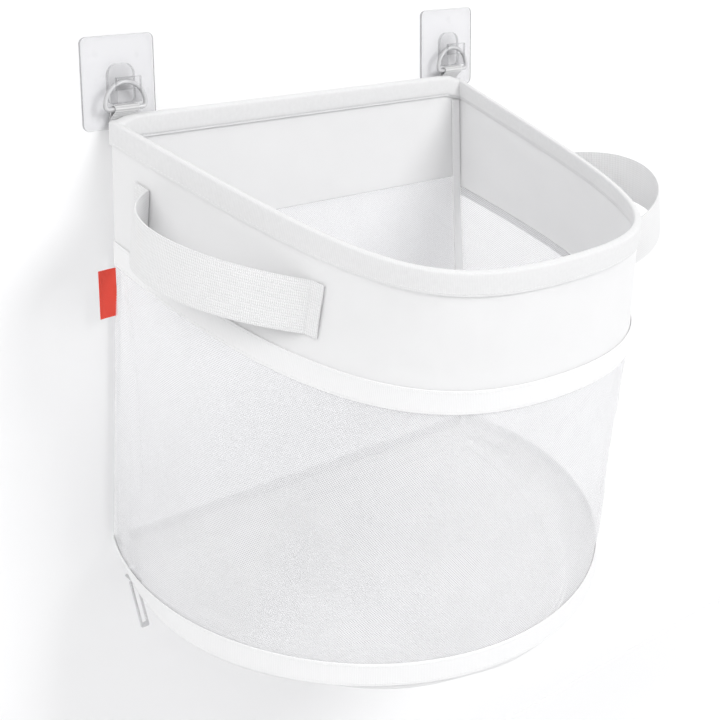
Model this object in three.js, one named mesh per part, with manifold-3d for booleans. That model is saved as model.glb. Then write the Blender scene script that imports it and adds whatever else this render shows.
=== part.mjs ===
// A hanging bath toy organizer: a flat-backed mesh bag on two adhesive wall hooks, with a base that unzips.
// Millimetres. +Z is up, the wall is the plane y = 0, and the bag stands out from it towards -Y.
// The origin lies on the wall, midway between the two hooks.
import * as THREE from 'three';
import { mergeVertices } from 'three/addons/utils/BufferGeometryUtils.js';
import Module from 'manifold-3d';

const wasm = await Module();
wasm.setup();

// Clearances
const seatGap = 0.3;
const plateClearance = 0.6;
const loopClearance = 0.4;
const zipTapeClearance = 0.7;
const joinOverrun = 1;
const samePoint = 0.001;

// Adhesive wall hooks
const hookOffset = 164;
const plateSize = 60;
const plateCorner = 4.5;
const plateThickness = 1.2;
const adhesiveThickness = 0.8;
const adhesiveMargin = 0.5;
const padWidth = 22;
const padTop = 12;
const padTopRadius = 8;
const padBottomRadius = 3;
const padThickness = 2.5;
const cavityDepth = 5.5;
const lipWidth = 20;
const lipTop = 4;
const lipThickness = 2.2;

// Hanging rings
const ringHalfWidth = 16.5;
const ringRise = 17;
const ringCorner = 2.5;
const ringBarDrop = 16.5;
const wireRadius = 1.5;

// Cloth and tape
const fabricThickness = 1.2;
const meshThickness = 0.6;
const tapeThickness = 0.8;
const loopWebThickness = 0.9;
const loopWebWidth = 20;

// The bag's outline seen from above, at three levels. Every outline is a D with its flat side on the wall:
// its half width at the wall, where its side and its front are heading, and how far it stands out.
const rimPlan = { halfWidth: 175, sideReach: 205, sideFlare: -24.9, frontReach: 147, depth: 246.4 };
const bandPlan = { halfWidth: 177.2, sideReach: 190.3, sideFlare: 16.3, frontReach: 123.7, depth: 242.2 };
const basePlan = { halfWidth: 189.6, sideReach: 113.4, sideFlare: 59.9, frontReach: 139, depth: 214 };

// Heights, measured down from the rim. The loaded bag leans forward, so all of it drops towards the front.
const rimDrop = 22;
const frontDrop = 86.6;
const rimBindingHeight = 15.4;
const bandHeight = 94.1;
const bandTapeHeight = 16;
const rearBandHeight = 77;
const meshHeight = 281.3;
const baseBindingHeight = 15.7;
const baseEdgeDrop = 3.5;

// The bottom binding is drawn in towards the rear corners. The shares say how far along a side that starts and
// is complete, counted from the front to the wall.
const cornerTuck = 6;
const tuckStartShare = 0.65;
const tuckFullShare = 0.97;

// Rim stiffener, corner tapes and label
const stiffenerThickness = 1.5;
const stiffenerHeight = 10;
const cornerTapeWidth = 8;
const cornerTapeMargin = 3;
const labelWidth = 13.4;
const labelHeight = 32;
const labelThickness = 0.6;
const labelDrop = 2;

// Base flap and zip
const zipRadius = 184;
const zipCentreSetback = 30;
const hingeSetback = 14;
const zipEndSetback = 5;
const teethGap = 1.1;
const teethWidth = 1.9;
const teethHeight = 1.2;
const zipTapeThickness = 0.5;
const flapTapeWidth = 11;
const hemSetback = 3.5;
const stopLength = 1.6;

// Zip slider and its pull
const sliderLength = 12;
const sliderInnerReach = 5.5;
const sliderTopReach = 2.6;
const sliderBottomReach = 6.9;
const sliderWing = 1;
const sliderWeb = 0.5;
const bridgeWidth = 1.6;
const bridgeWall = 1;
const bridgeOpening = 2.6;
const pullWidth = 6.6;
const pullLength = 33;
const pullThickness = 1.4;
const pullBar = 1.6;
const pullEnd = 3.4;
const pullRail = 1.6;
const pullCorner = 1.2;
const pullLeanAngle = 40;

// Handles: where the webbing is sewn down along each side, as shares of the way from the wall to the front,
// and how it bows out between its folds
const handleWidth = 34;
const handleThickness = 1.5;
const handleDepth = 46.5;
const leftSewingShares = { rearEndShare: 0.038, rearFoldShare: 0.06, frontFoldShare: 0.365, frontEndShare: 0.392 };
const rightSewingShares = { rearEndShare: 0.118, rearFoldShare: 0.14, frontFoldShare: 0.45, frontEndShare: 0.477 };
const leftHandle = { side: -1, riseShare: 0.14, riseReach: 72, fallShare: 0.6, fallReach: 26, liftHeight: 0 };
const rightHandle = { side: 1, riseShare: 0.5, riseReach: 58.4, fallShare: 0.7, fallReach: 83.5, liftHeight: 25.9 };

// Fineness of the curved pieces
const wallSteps = 44;
const baseSteps = 88;
const bandLevels = 4;
const meshLevels = 8;
const hemLevels = 2;
const curlSteps = 4;
const ringSteps = 22;
const wireSides = 10;
const zipSteps = 48;
const handleSteps = 18;
const cornerSteps = 5;

// Levels and offsets that follow from the sizes above
const slope = frontDrop / rimPlan.depth;
const tilt = Math.atan(slope);
const plateBack = adhesiveThickness + seatGap;
const plateFront = plateBack + plateThickness;
const padBack = plateFront + seatGap;
const padFront = padBack + padThickness;
const lipBack = padFront + cavityDepth;
const lipFront = lipBack + lipThickness;
const ringPlane = padFront + cavityDepth / 2;
const bindingOffset = tapeThickness + seatGap;
const loopBack = plateFront + plateClearance;
const loopFront = loopBack + 2 * loopWebThickness;
const bagStandoff = loopFront + seatGap + bindingOffset;
const stiffenerInset = fabricThickness + seatGap;
const bindingInset = stiffenerInset + stiffenerThickness + seatGap + tapeThickness;
const clothTop = tapeThickness + seatGap;
const bandSeam = bandHeight - bandTapeHeight / 2;
const rearSeam = rearBandHeight;
const meshEnd = meshHeight + baseBindingHeight / 2;
const bindingEnd = meshHeight + baseBindingHeight;
const zipDepth = bindingEnd + baseEdgeDrop;
const hingeLine = -hingeSetback;
const zipCentre = -zipCentreSetback;
const zipEndReach = zipCentreSetback - hingeSetback - zipEndSetback;
const zipEndAngle = 90 + THREE.MathUtils.radToDeg(Math.asin(zipEndReach / zipRadius));
const sliderRestAngle = zipEndAngle - THREE.MathUtils.radToDeg((sliderLength / 2 + seatGap) / zipRadius);
const tapeLevel = seatGap / 2;
const hemTop = -seatGap / 2;
const hemBottom = hemTop - fabricThickness;
const teethBottom = hemTop - teethHeight;
const bridgeLevel = hemBottom - seatGap - sliderWing;

// Colours and finishes
const finishes = {
  fabric: { color: 0xf4f4f4, roughness: 0.9, metalness: 0 },
  webbing: { color: 0xf0f0f0, roughness: 0.85, metalness: 0 },
  mesh: { color: 0xe8e8ec, roughness: 0.9, metalness: 0, transparent: true, opacity: 0.6 },
  clear: { color: 0xdfe2e6, roughness: 0.1, metalness: 0, transparent: true, opacity: 0.6 },
  adhesive: { color: 0xe6e6ea, roughness: 0.3, metalness: 0, transparent: true, opacity: 0.6 },
  stiffener: { color: 0xdddddd, roughness: 0.5, metalness: 0 },
  zip: { color: 0xf2f2f2, roughness: 0.5, metalness: 0 },
  nickel: { color: 0xb8b8b8, roughness: 0.25, metalness: 1 },
  label: { color: 0xee3a26, roughness: 0.8, metalness: 0 },
};

const bag = new THREE.Group();
const wallHooks = new THREE.Group();
const zipPlane = new THREE.Group();
zipPlane.rotation.x = tilt;
zipPlane.position.z = -rimDrop - zipDepth;

function addPiece(parent, name, geometry, finish) {
  const piece = new THREE.Mesh(geometry, new THREE.MeshStandardMaterial(finishes[finish]));
  piece.name = name;
  parent.add(piece);
  return piece;
}

// Solids from rings of points

function signedVolume(points, faces) {
  let volume = 0;
  for (const [a, b, c] of faces) {
    volume += points[a].dot(new THREE.Vector3().crossVectors(points[b], points[c]));
  }
  return volume;
}

function solidOf(points, faces) {
  const outward = signedVolume(points, faces) > 0;
  const ordered = outward ? faces : faces.map(([a, b, c]) => [a, c, b]);
  const geometry = new THREE.BufferGeometry().setFromPoints(points);
  geometry.setIndex(ordered.flat());
  return geometry;
}

function capFaces(section) {
  const turn = Math.sign(THREE.ShapeUtils.area(section));
  return THREE.ShapeUtils.triangulateShape(section, []).map(([a, b, c]) => {
    const same = Math.sign(THREE.ShapeUtils.area([section[a], section[b], section[c]])) === turn;
    return same ? [a, b, c] : [a, c, b];
  });
}

// Joins equal rings of points side by side. An open row is closed by the flat section at both ends.
function loft(rings, section = null) {
  const size = rings[0].length;
  const faces = [];
  const spans = section ? rings.length - 1 : rings.length;
  for (let i = 0; i < spans; i += 1) {
    const here = i * size;
    const next = ((i + 1) % rings.length) * size;
    for (let j = 0; j < size; j += 1) {
      const k = (j + 1) % size;
      faces.push([here + j, here + k, next + k], [here + j, next + k, next + j]);
    }
  }
  if (section) {
    const last = (rings.length - 1) * size;
    for (const [a, b, c] of capFaces(section)) {
      faces.push([a, c, b], [last + a, last + b, last + c]);
    }
  }
  return solidOf(rings.flat(), faces);
}

// Boolean joins

function toManifold(geometry) {
  const bare = geometry.clone();
  bare.deleteAttribute('normal');
  bare.deleteAttribute('uv');
  const merged = mergeVertices(bare);
  const vertProperties = new Float32Array(merged.attributes.position.array);
  const triVerts = new Uint32Array(merged.index.array);
  return new wasm.Manifold(new wasm.Mesh({ numProp: 3, vertProperties, triVerts }));
}

function fromManifold(solid) {
  const mesh = solid.getMesh();
  const geometry = new THREE.BufferGeometry();
  geometry.setAttribute('position', new THREE.BufferAttribute(mesh.vertProperties, 3));
  geometry.setIndex(new THREE.BufferAttribute(mesh.triVerts, 1));
  return geometry;
}

function joined(geometries) {
  const solids = geometries.map(toManifold);
  return fromManifold(solids.reduce((whole, next) => whole.add(next)));
}

// Flat pieces

function roundedPlate(width, bottom, top, bottomRadius, topRadius) {
  const half = width / 2;
  const shape = new THREE.Shape();
  shape.moveTo(-half + bottomRadius, bottom);
  shape.lineTo(half - bottomRadius, bottom);
  shape.absarc(half - bottomRadius, bottom + bottomRadius, bottomRadius, -Math.PI / 2, 0, false);
  shape.lineTo(half, top - topRadius);
  shape.absarc(half - topRadius, top - topRadius, topRadius, 0, Math.PI / 2, false);
  shape.lineTo(-half + topRadius, top);
  shape.absarc(-half + topRadius, top - topRadius, topRadius, Math.PI / 2, Math.PI, false);
  shape.lineTo(-half, bottom + bottomRadius);
  shape.absarc(-half + bottomRadius, bottom + bottomRadius, bottomRadius, Math.PI, 1.5 * Math.PI, false);
  return shape;
}

// Leaves out points that lie on the next one, where a line and an arc of an outline meet.
function distinct(points) {
  return points.filter((point, i) => point.distanceTo(points[(i + 1) % points.length]) > samePoint);
}

function extruded(shape, depth, steps = cornerSteps) {
  const drawn = shape.extractPoints(steps);
  const outline = new THREE.Shape(distinct(drawn.shape));
  outline.holes = drawn.holes.map((hole) => new THREE.Path(distinct(hole)));
  return new THREE.ExtrudeGeometry(outline, { depth, bevelEnabled: false });
}

// A plate parallel to the wall. Its back lies at the given distance from the wall.
function wallPlate(shape, distance, thickness) {
  const geometry = extruded(shape, thickness);
  geometry.rotateX(Math.PI / 2);
  geometry.translate(0, -distance, 0);
  return geometry;
}

// A shape drawn as distance from the wall and height, given a width from left to right.
function sideProfile(shape, width) {
  const geometry = extruded(shape, width);
  const across = new THREE.Vector3(-1, 0, 0);
  const outFromWall = new THREE.Vector3(0, -1, 0);
  const up = new THREE.Vector3(0, 0, 1);
  geometry.applyMatrix4(new THREE.Matrix4().makeBasis(outFromWall, up, across));
  geometry.translate(width / 2, 0, 0);
  return geometry;
}

// Wall hooks

function archHeightAt(x) {
  const share = x / ringHalfWidth;
  return ringCorner + (ringRise - ringCorner) * Math.sqrt(1 - share * share);
}

function archSlopeAt(x) {
  const share = x / ringHalfWidth;
  return ((ringRise - ringCorner) / ringHalfWidth) * (share / Math.sqrt(1 - share * share));
}

const swingLevel = archHeightAt(lipWidth / 2) - ringBarDrop;
const saddleLevel = swingLevel - wireRadius * Math.hypot(1, archSlopeAt(lipWidth / 2)) - seatGap;
const loopRadius = wireRadius + seatGap + loopWebThickness;
const bodyRadius = swingLevel + ringBarDrop - loopRadius - loopClearance;
const padBottom = bodyRadius - swingLevel;

// The pad, and a deep J whose underside follows the swing of the ring's lower bar.
function hookSolid() {
  const padShape = roundedPlate(padWidth, -padBottom, padTop, padBottomRadius, padTopRadius);
  const pad = wallPlate(padShape, padBack, padThickness);
  const frontReach = lipFront - ringPlane;
  const backReach = padFront - joinOverrun - ringPlane;
  const roundTop = lipThickness / 2;
  const jay = new THREE.Shape();
  jay.moveTo(padFront - joinOverrun, saddleLevel);
  jay.lineTo(lipBack, saddleLevel);
  jay.lineTo(lipBack, lipTop - roundTop);
  jay.absarc(lipBack + roundTop, lipTop - roundTop, roundTop, Math.PI, 0, true);
  const frontAngle = -Math.acos(frontReach / bodyRadius);
  const backAngle = -Math.acos(backReach / bodyRadius);
  jay.absarc(ringPlane, swingLevel, bodyRadius, frontAngle, backAngle, true);
  return joined([pad, sideProfile(jay, lipWidth)]);
}

function addWallHook(side, label) {
  const station = new THREE.Group();
  station.position.x = side * hookOffset;
  wallHooks.add(station);
  const half = plateSize / 2;
  const inner = half - adhesiveMargin;
  const innerCorner = plateCorner - adhesiveMargin;
  const sheet = roundedPlate(2 * inner, -inner, inner, innerCorner, innerCorner);
  const plate = roundedPlate(plateSize, -half, half, plateCorner, plateCorner);
  addPiece(station, `adhesive_sheet_${label}`, wallPlate(sheet, 0, adhesiveThickness), 'adhesive');
  addPiece(station, `hook_plate_${label}`, wallPlate(plate, plateBack, plateThickness), 'clear');
  addPiece(station, `hook_${label}`, hookSolid(), 'clear');
}

// Hanging rings

function ringOutline() {
  const outline = new THREE.Path();
  const flat = ringHalfWidth - ringCorner;
  outline.moveTo(-flat, 0);
  outline.lineTo(flat, 0);
  outline.absarc(flat, ringCorner, ringCorner, -Math.PI / 2, 0, false);
  outline.absellipse(0, ringCorner, ringHalfWidth, ringRise - ringCorner, 0, Math.PI, false, 0);
  outline.absarc(-flat, ringCorner, ringCorner, Math.PI, 1.5 * Math.PI, false);
  return outline.curves;
}

function ringPath() {
  const points = [];
  for (const curve of ringOutline()) {
    const steps = curve.isLineCurve ? 1 : curve.xRadius > ringCorner ? ringSteps : cornerSteps;
    points.push(...curve.getPoints(steps).slice(1));
  }
  return distinct(points);
}

function ringSolid() {
  const path = ringPath();
  const rings = path.map((point, i) => {
    const before = path[(i + path.length - 1) % path.length];
    const after = path[(i + 1) % path.length];
    const along = after.clone().sub(before).normalize();
    return Array.from({ length: wireSides }, (unused, k) => {
      const turn = (2 * Math.PI * k) / wireSides;
      const aside = wireRadius * Math.cos(turn);
      const x = point.x + aside * along.y;
      const z = point.y - aside * along.x;
      return new THREE.Vector3(x, -ringPlane + wireRadius * Math.sin(turn), z - ringBarDrop);
    });
  });
  return loft(rings);
}

function addRing(side, label) {
  addPiece(bag, `ring_${label}`, ringSolid(), 'clear').position.x = side * hookOffset;
}

// Outline of the bag

function planAt(plan, t) {
  const curve = new THREE.CubicBezierCurve(
    new THREE.Vector2(plan.halfWidth, -bagStandoff),
    new THREE.Vector2(plan.halfWidth + plan.sideFlare, -plan.sideReach),
    new THREE.Vector2(plan.frontReach, -plan.depth),
    new THREE.Vector2(0, -plan.depth),
  );
  const tangent = curve.getTangent(t);
  return { point: curve.getPoint(t), inward: new THREE.Vector2(tangent.y, -tangent.x) };
}

// How far the wall is drawn in below the mesh, towards the rear corners.
function tuckAt(depth, station) {
  const drop = Math.max(depth - meshHeight, 0) / baseBindingHeight;
  return cornerTuck * drop * THREE.MathUtils.smoothstep(Math.abs(station), tuckStartShare, tuckFullShare);
}

// A point of the bag's wall. The station runs from -1 at the wall on the left, over 0 at the front, to 1.
function wallPoint(depth, station, inset, mitred = false) {
  const side = station < 0 ? -1 : 1;
  const t = 1 - Math.abs(station);
  const upper = depth < bandHeight ? rimPlan : bandPlan;
  const lower = depth < bandHeight ? bandPlan : basePlan;
  const top = depth < bandHeight ? 0 : bandHeight;
  const bottom = depth < bandHeight ? bandHeight : meshHeight;
  const share = THREE.MathUtils.clamp((depth - top) / (bottom - top), 0, 1);
  const high = planAt(upper, t);
  const low = planAt(lower, t);
  const point = high.point.lerp(low.point, share);
  const inward = high.inward.lerp(low.inward, share).normalize();
  point.x -= tuckAt(depth, station);
  if (t === 0) {
    const backShare = mitred ? 1 : 0;
    inward.set((1 + backShare * inward.y) / inward.x, -backShare);
  }
  point.addScaledVector(inward, inset);
  return new THREE.Vector2(side * point.x, point.y);
}

function place(x, y, depth) {
  return new THREE.Vector3(x, y, -rimDrop - depth + slope * y);
}

function stationsOf(steps) {
  return Array.from({ length: steps + 1 }, (unused, i) => (2 * i) / steps - 1);
}

// A strip of cloth round the sides and front. Its section is drawn as inset and depth.
function sideStrip(section, closed = false) {
  const rings = stationsOf(wallSteps).map((station) => section.map(([inset, depth]) => {
    const point = wallPoint(depth, station, inset, closed);
    return place(point.x, point.y, depth);
  }));
  const flat = section.map(([inset, depth]) => new THREE.Vector2(inset, depth));
  return loft(rings, closed ? null : flat);
}

function stripSection(outer, inner, depths) {
  const down = depths.map((depth) => [outer, depth]);
  const up = depths.toReversed().map((depth) => [inner, depth]);
  return [...down, ...up];
}

// Equal steps between two depths, so that a wall whose outline changes stays smooth.
function levelsBetween(top, bottom, count) {
  return Array.from({ length: count + 1 }, (unused, i) => THREE.MathUtils.lerp(top, bottom, i / count));
}

// A flat strip of the bag's back between two half widths that follow the bag's outline.
function rearStrip(depths, back, front, leftEdge, rightEdge) {
  const section = [[leftEdge, back], [rightEdge, back], [rightEdge, front], [leftEdge, front]];
  const rings = depths.map((depth) => {
    const halfWidth = wallPoint(depth, 1, 0).x;
    return section.map(([edge, inset]) => place(edge(halfWidth), -bagStandoff - inset, depth));
  });
  const flat = section.map(([edge, inset]) => new THREE.Vector2(edge(rimPlan.halfWidth), inset));
  return loft(rings, flat);
}

// Upper part of the bag

function rimBindingSection() {
  const outer = -bindingOffset;
  const inner = bindingInset;
  const roof = tapeThickness;
  const middle = clothTop + stiffenerHeight;
  return [
    [outer, 0],
    [outer, clothTop],
    [outer, middle],
    [outer, rimBindingHeight],
    [outer + tapeThickness, rimBindingHeight],
    [outer + tapeThickness, middle],
    [outer + tapeThickness, clothTop],
    [outer + tapeThickness, roof],
    [inner - tapeThickness, roof],
    [inner - tapeThickness, clothTop],
    [inner - tapeThickness, middle],
    [inner - tapeThickness, rimBindingHeight],
    [inner, rimBindingHeight],
    [inner, middle],
    [inner, clothTop],
    [inner, 0],
  ];
}

function addRim() {
  const stiffenerDepths = [clothTop, clothTop + stiffenerHeight];
  const stiffener = stripSection(stiffenerInset, stiffenerInset + stiffenerThickness, stiffenerDepths);
  addPiece(bag, 'rim_stiffener', sideStrip(stiffener, true), 'stiffener');
  addPiece(bag, 'rim_binding', sideStrip(rimBindingSection(), true), 'webbing');
}

function addBand() {
  const edge = fabricThickness + seatGap;
  const left = (halfWidth) => edge - halfWidth;
  const right = (halfWidth) => halfWidth - edge;
  const tapeTop = bandHeight - bandTapeHeight;
  const tapeDepths = [tapeTop, bandSeam, bandHeight];
  const bandDepths = [clothTop, ...levelsBetween(clothTop + stiffenerHeight, tapeTop, bandLevels), bandSeam];
  addPiece(bag, 'band_front', sideStrip(stripSection(0, fabricThickness, bandDepths)), 'fabric');
  addPiece(bag, 'band_rear', rearStrip([clothTop, rearSeam], 0, fabricThickness, left, right), 'fabric');
  addPiece(bag, 'band_lower_tape', sideStrip(stripSection(-bindingOffset, -seatGap, tapeDepths)), 'webbing');
}

function addMesh() {
  const edge = fabricThickness + seatGap;
  const left = (halfWidth) => edge - halfWidth;
  const right = (halfWidth) => halfWidth - edge;
  const wallDepths = levelsBetween(bandHeight, meshHeight, meshLevels);
  const hemDepths = levelsBetween(meshHeight, meshEnd, hemLevels).slice(1);
  const frontDepths = [bandSeam + seatGap, ...wallDepths, ...hemDepths];
  const rearDepths = [rearSeam + seatGap, bandHeight, meshHeight, meshEnd];
  addPiece(bag, 'mesh_front', sideStrip(stripSection(0, meshThickness, frontDepths)), 'mesh');
  addPiece(bag, 'mesh_rear', rearStrip(rearDepths, 0, meshThickness, left, right), 'mesh');
}

function addCornerTape(side, label) {
  const outerEdge = (halfWidth) => side * (halfWidth - cornerTapeMargin);
  const innerEdge = (halfWidth) => side * (halfWidth - cornerTapeMargin - cornerTapeWidth);
  const back = fabricThickness + seatGap;
  const depths = [rimBindingHeight + seatGap, bandHeight, meshHeight, meshEnd];
  const geometry = rearStrip(depths, back, back + tapeThickness, innerEdge, outerEdge);
  addPiece(bag, `corner_seam_tape_${label}`, geometry, 'webbing');
}

function addLabel() {
  const start = (halfWidth) => -halfWidth - seatGap;
  const end = (halfWidth) => -halfWidth - seatGap - labelWidth;
  const top = bandHeight + labelDrop;
  const geometry = rearStrip([top, top + labelHeight], 0, labelThickness, end, start);
  addPiece(bag, 'label', geometry, 'label');
}

// Hang loops: webbing folded round the ring's lower bar and sewn to the back of the rim binding.

function hangLoopShape() {
  const bottom = -rimDrop - rimBindingHeight - slope * loopFront;
  const shoulder = -rimDrop - tapeThickness;
  const shape = new THREE.Shape();
  shape.moveTo(loopBack, bottom);
  shape.lineTo(loopFront, bottom);
  shape.lineTo(loopFront, shoulder);
  shape.absarc(ringPlane, -ringBarDrop, loopRadius, -0.25 * Math.PI, Math.PI, false);
  shape.lineTo(loopBack, shoulder);
  const eye = new THREE.Path();
  eye.absarc(ringPlane, -ringBarDrop, wireRadius + seatGap, 0, 2 * Math.PI, true);
  shape.holes.push(eye);
  return shape;
}

function addHangLoop(side, label) {
  const geometry = sideProfile(hangLoopShape(), loopWebWidth);
  addPiece(bag, `hang_loop_${label}`, geometry, 'webbing').position.x = side * hookOffset;
}

// Handles

function handlePoint(handle, depth, along, out, lift) {
  const station = handle.side * (1 - along);
  const offset = seatGap + handleThickness / 2 + out;
  const point = wallPoint(depth, station, -offset);
  return place(point.x, point.y, depth - lift);
}

// The path of one edge of the webbing, along a given level of the bag's wall.
function handleEdge(handle, sewing, depth) {
  const arch = new THREE.CubicBezierCurve(
    new THREE.Vector2(0, 0),
    new THREE.Vector2(handle.riseShare, handle.riseReach),
    new THREE.Vector2(handle.fallShare, handle.fallReach),
    new THREE.Vector2(1, 0),
  );
  const points = [handlePoint(handle, depth, sewing.rearEndShare, 0, 0)];
  for (let i = 0; i <= handleSteps; i += 1) {
    const bend = arch.getPoint(i / handleSteps);
    const along = THREE.MathUtils.lerp(sewing.rearFoldShare, sewing.frontFoldShare, bend.x);
    const lift = handle.liftHeight * Math.sin(Math.PI * bend.x);
    points.push(handlePoint(handle, depth, along, bend.y, lift));
  }
  points.push(handlePoint(handle, depth, sewing.frontEndShare, 0, 0));
  return points;
}

// The two faces of the webbing at one point of an edge, square to the way it runs.
function handleFaces(path, i) {
  const before = path[Math.max(i - 1, 0)];
  const after = path[Math.min(i + 1, path.length - 1)];
  const along = new THREE.Vector3(after.x - before.x, after.y - before.y, 0).normalize();
  const aside = new THREE.Vector3(along.y, -along.x, 0).multiplyScalar(handleThickness / 2);
  return [path[i].clone().sub(aside), path[i].clone().add(aside)];
}

function handleSolid(handle, sewing) {
  const half = handleWidth / 2;
  const upper = handleEdge(handle, sewing, handleDepth - half);
  const lower = handleEdge(handle, sewing, handleDepth + half);
  const rings = upper.map((unused, i) => [...handleFaces(upper, i), ...handleFaces(lower, i).toReversed()]);
  const corners = [[0, half], [handleThickness, half], [handleThickness, -half], [0, -half]];
  return loft(rings, corners.map(([aside, up]) => new THREE.Vector2(aside, up)));
}

// Base of the bag

// The inner border of the base edge, round the opening that the flap closes.
function openingBorder(point, corner, level) {
  const radius = zipRadius + hemSetback;
  const cornerPoint = wallPoint(bindingEnd, 1, 0);
  const angleOf = (p) => Math.atan2(p.x, -(p.y / Math.cos(tilt) - zipCentre));
  const share = angleOf(point) / angleOf(cornerPoint);
  const angle = share * (Math.PI / 2 + Math.asin((zipCentreSetback - hingeSetback) / radius));
  const x = radius * Math.sin(angle);
  const v = corner ? hingeLine + seatGap : zipCentre - radius * Math.cos(angle);
  const y = v * Math.cos(tilt) - level * Math.sin(tilt);
  return { x, y, depth: zipDepth - level / Math.cos(tilt) };
}

function baseEdgeLine(station, inset, level) {
  const corner = Math.abs(station) === 1;
  const top = wallPoint(meshEnd + seatGap, station, inset, true);
  const start = wallPoint(bindingEnd, station, inset, true);
  const border = openingBorder(wallPoint(bindingEnd, station, 0), corner, level);
  const line = [place(top.x, top.y, meshEnd + seatGap)];
  for (let i = 0; i <= curlSteps; i += 1) {
    const turn = (Math.PI / 2) * (i / curlSteps);
    const inwards = 1 - Math.cos(turn);
    const x = THREE.MathUtils.lerp(start.x, border.x, inwards);
    const y = THREE.MathUtils.lerp(start.y, border.y, inwards);
    line.push(place(x, y, THREE.MathUtils.lerp(bindingEnd, border.depth, Math.sin(turn))));
  }
  return line;
}

function baseEdgeSolid() {
  const rings = stationsOf(baseSteps).map((station) => [
    ...baseEdgeLine(station, 0, hemBottom),
    ...baseEdgeLine(station, fabricThickness, hemTop).toReversed(),
  ]);
  return loft(rings);
}

function addBaseRim() {
  const bindingDepths = levelsBetween(meshHeight, bindingEnd, 2 * hemLevels);
  const binding = stripSection(-bindingOffset, -seatGap, bindingDepths);
  addPiece(bag, 'bottom_binding', sideStrip(binding, true), 'webbing');
  addPiece(bag, 'base_edge', baseEdgeSolid(), 'fabric');
}

// Zip. Its plane is the underside of the bag, and its pieces run a little over half way round the zip's centre.

function zipPoint(radius, degrees, level) {
  const angle = THREE.MathUtils.degToRad(degrees);
  return new THREE.Vector3(radius * Math.sin(angle), zipCentre - radius * Math.cos(angle), level);
}

function zipArc(inner, outer, bottom, top, fromDegrees, toDegrees, steps) {
  const section = [[inner, bottom], [outer, bottom], [outer, top], [inner, top]];
  const rings = [];
  for (let i = 0; i <= steps; i += 1) {
    const degrees = THREE.MathUtils.lerp(fromDegrees, toDegrees, i / steps);
    rings.push(section.map(([radius, level]) => zipPoint(radius, degrees, level)));
  }
  return loft(rings, section.map(([radius, level]) => new THREE.Vector2(radius, level)));
}

function zipHalf(inner, outer, bottom, top) {
  return zipArc(inner, outer, bottom, top, -zipEndAngle, zipEndAngle, zipSteps);
}

function endStop(side) {
  const inner = zipRadius + teethGap / 2;
  const turnOf = (length) => THREE.MathUtils.radToDeg(length / zipRadius);
  const start = zipEndAngle + turnOf(seatGap);
  const end = start + turnOf(stopLength);
  return zipArc(inner, inner + teethWidth, teethBottom, hemTop, side * start, side * end, 1);
}

function addZip() {
  const half = teethGap / 2;
  const tapeTop = tapeLevel + zipTapeThickness;
  const bagTeeth = zipRadius + half;
  const bagTapeEdge = zipRadius + hemSetback - zipTapeClearance;
  const flapTeeth = zipRadius - half;
  addPiece(zipPlane, 'zip_tape_upper', zipHalf(bagTeeth, bagTapeEdge, tapeLevel, tapeTop), 'webbing');
  addPiece(zipPlane, 'zip_teeth_upper', zipHalf(bagTeeth, bagTeeth + teethWidth, teethBottom, hemTop), 'zip');
  addPiece(zipPlane, 'zip_end_stop_left', endStop(-1), 'zip');
  addPiece(zipPlane, 'zip_end_stop_right', endStop(1), 'zip');
  addPiece(zipPlane, 'zip_tape_lower', zipHalf(flapTeeth - flapTapeWidth, flapTeeth, tapeLevel, tapeTop), 'webbing');
  addPiece(zipPlane, 'zip_teeth_lower', zipHalf(flapTeeth - teethWidth, flapTeeth, teethBottom, hemTop), 'zip');
}

// The flap is a disc cut off by a straight edge beside the bag's back, where it hinges.
function addBasePanel() {
  const radius = zipRadius - hemSetback;
  const rise = Math.asin((zipCentreSetback - hingeSetback - seatGap) / radius);
  const shape = new THREE.Shape();
  shape.absarc(0, zipCentre, radius, Math.PI - rise, 2 * Math.PI + rise, false);
  const geometry = extruded(shape, fabricThickness, zipSteps);
  geometry.translate(0, 0, hemBottom);
  addPiece(zipPlane, 'base_panel', geometry, 'fabric');
}

// Slider and pull. In the carriage's own axes X points outward, Y along the zip and Z up through the tape.

const pullMiddle = teethGap / 2 + pullWidth / 2;
const bridgeCentre = bridgeLevel - bridgeOpening / 2;

function crossSectionAlongZip(shape, length) {
  const geometry = extruded(shape, length);
  geometry.translate(0, 0, -length / 2);
  geometry.rotateX(Math.PI / 2);
  return geometry;
}

function sliderBody() {
  const top = tapeLevel + zipTapeThickness + seatGap;
  const bottom = hemBottom - seatGap;
  const web = sliderWeb / 2;
  const shape = new THREE.Shape([
    new THREE.Vector2(-sliderInnerReach, top + sliderWing),
    new THREE.Vector2(-sliderInnerReach, top),
    new THREE.Vector2(-web, top),
    new THREE.Vector2(-web, bottom - sliderWing),
    new THREE.Vector2(sliderBottomReach, bottom - sliderWing),
    new THREE.Vector2(sliderBottomReach, bottom),
    new THREE.Vector2(web, bottom),
    new THREE.Vector2(web, top),
    new THREE.Vector2(sliderTopReach, top),
    new THREE.Vector2(sliderTopReach, top + sliderWing),
  ]);
  return crossSectionAlongZip(shape, sliderLength);
}

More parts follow.
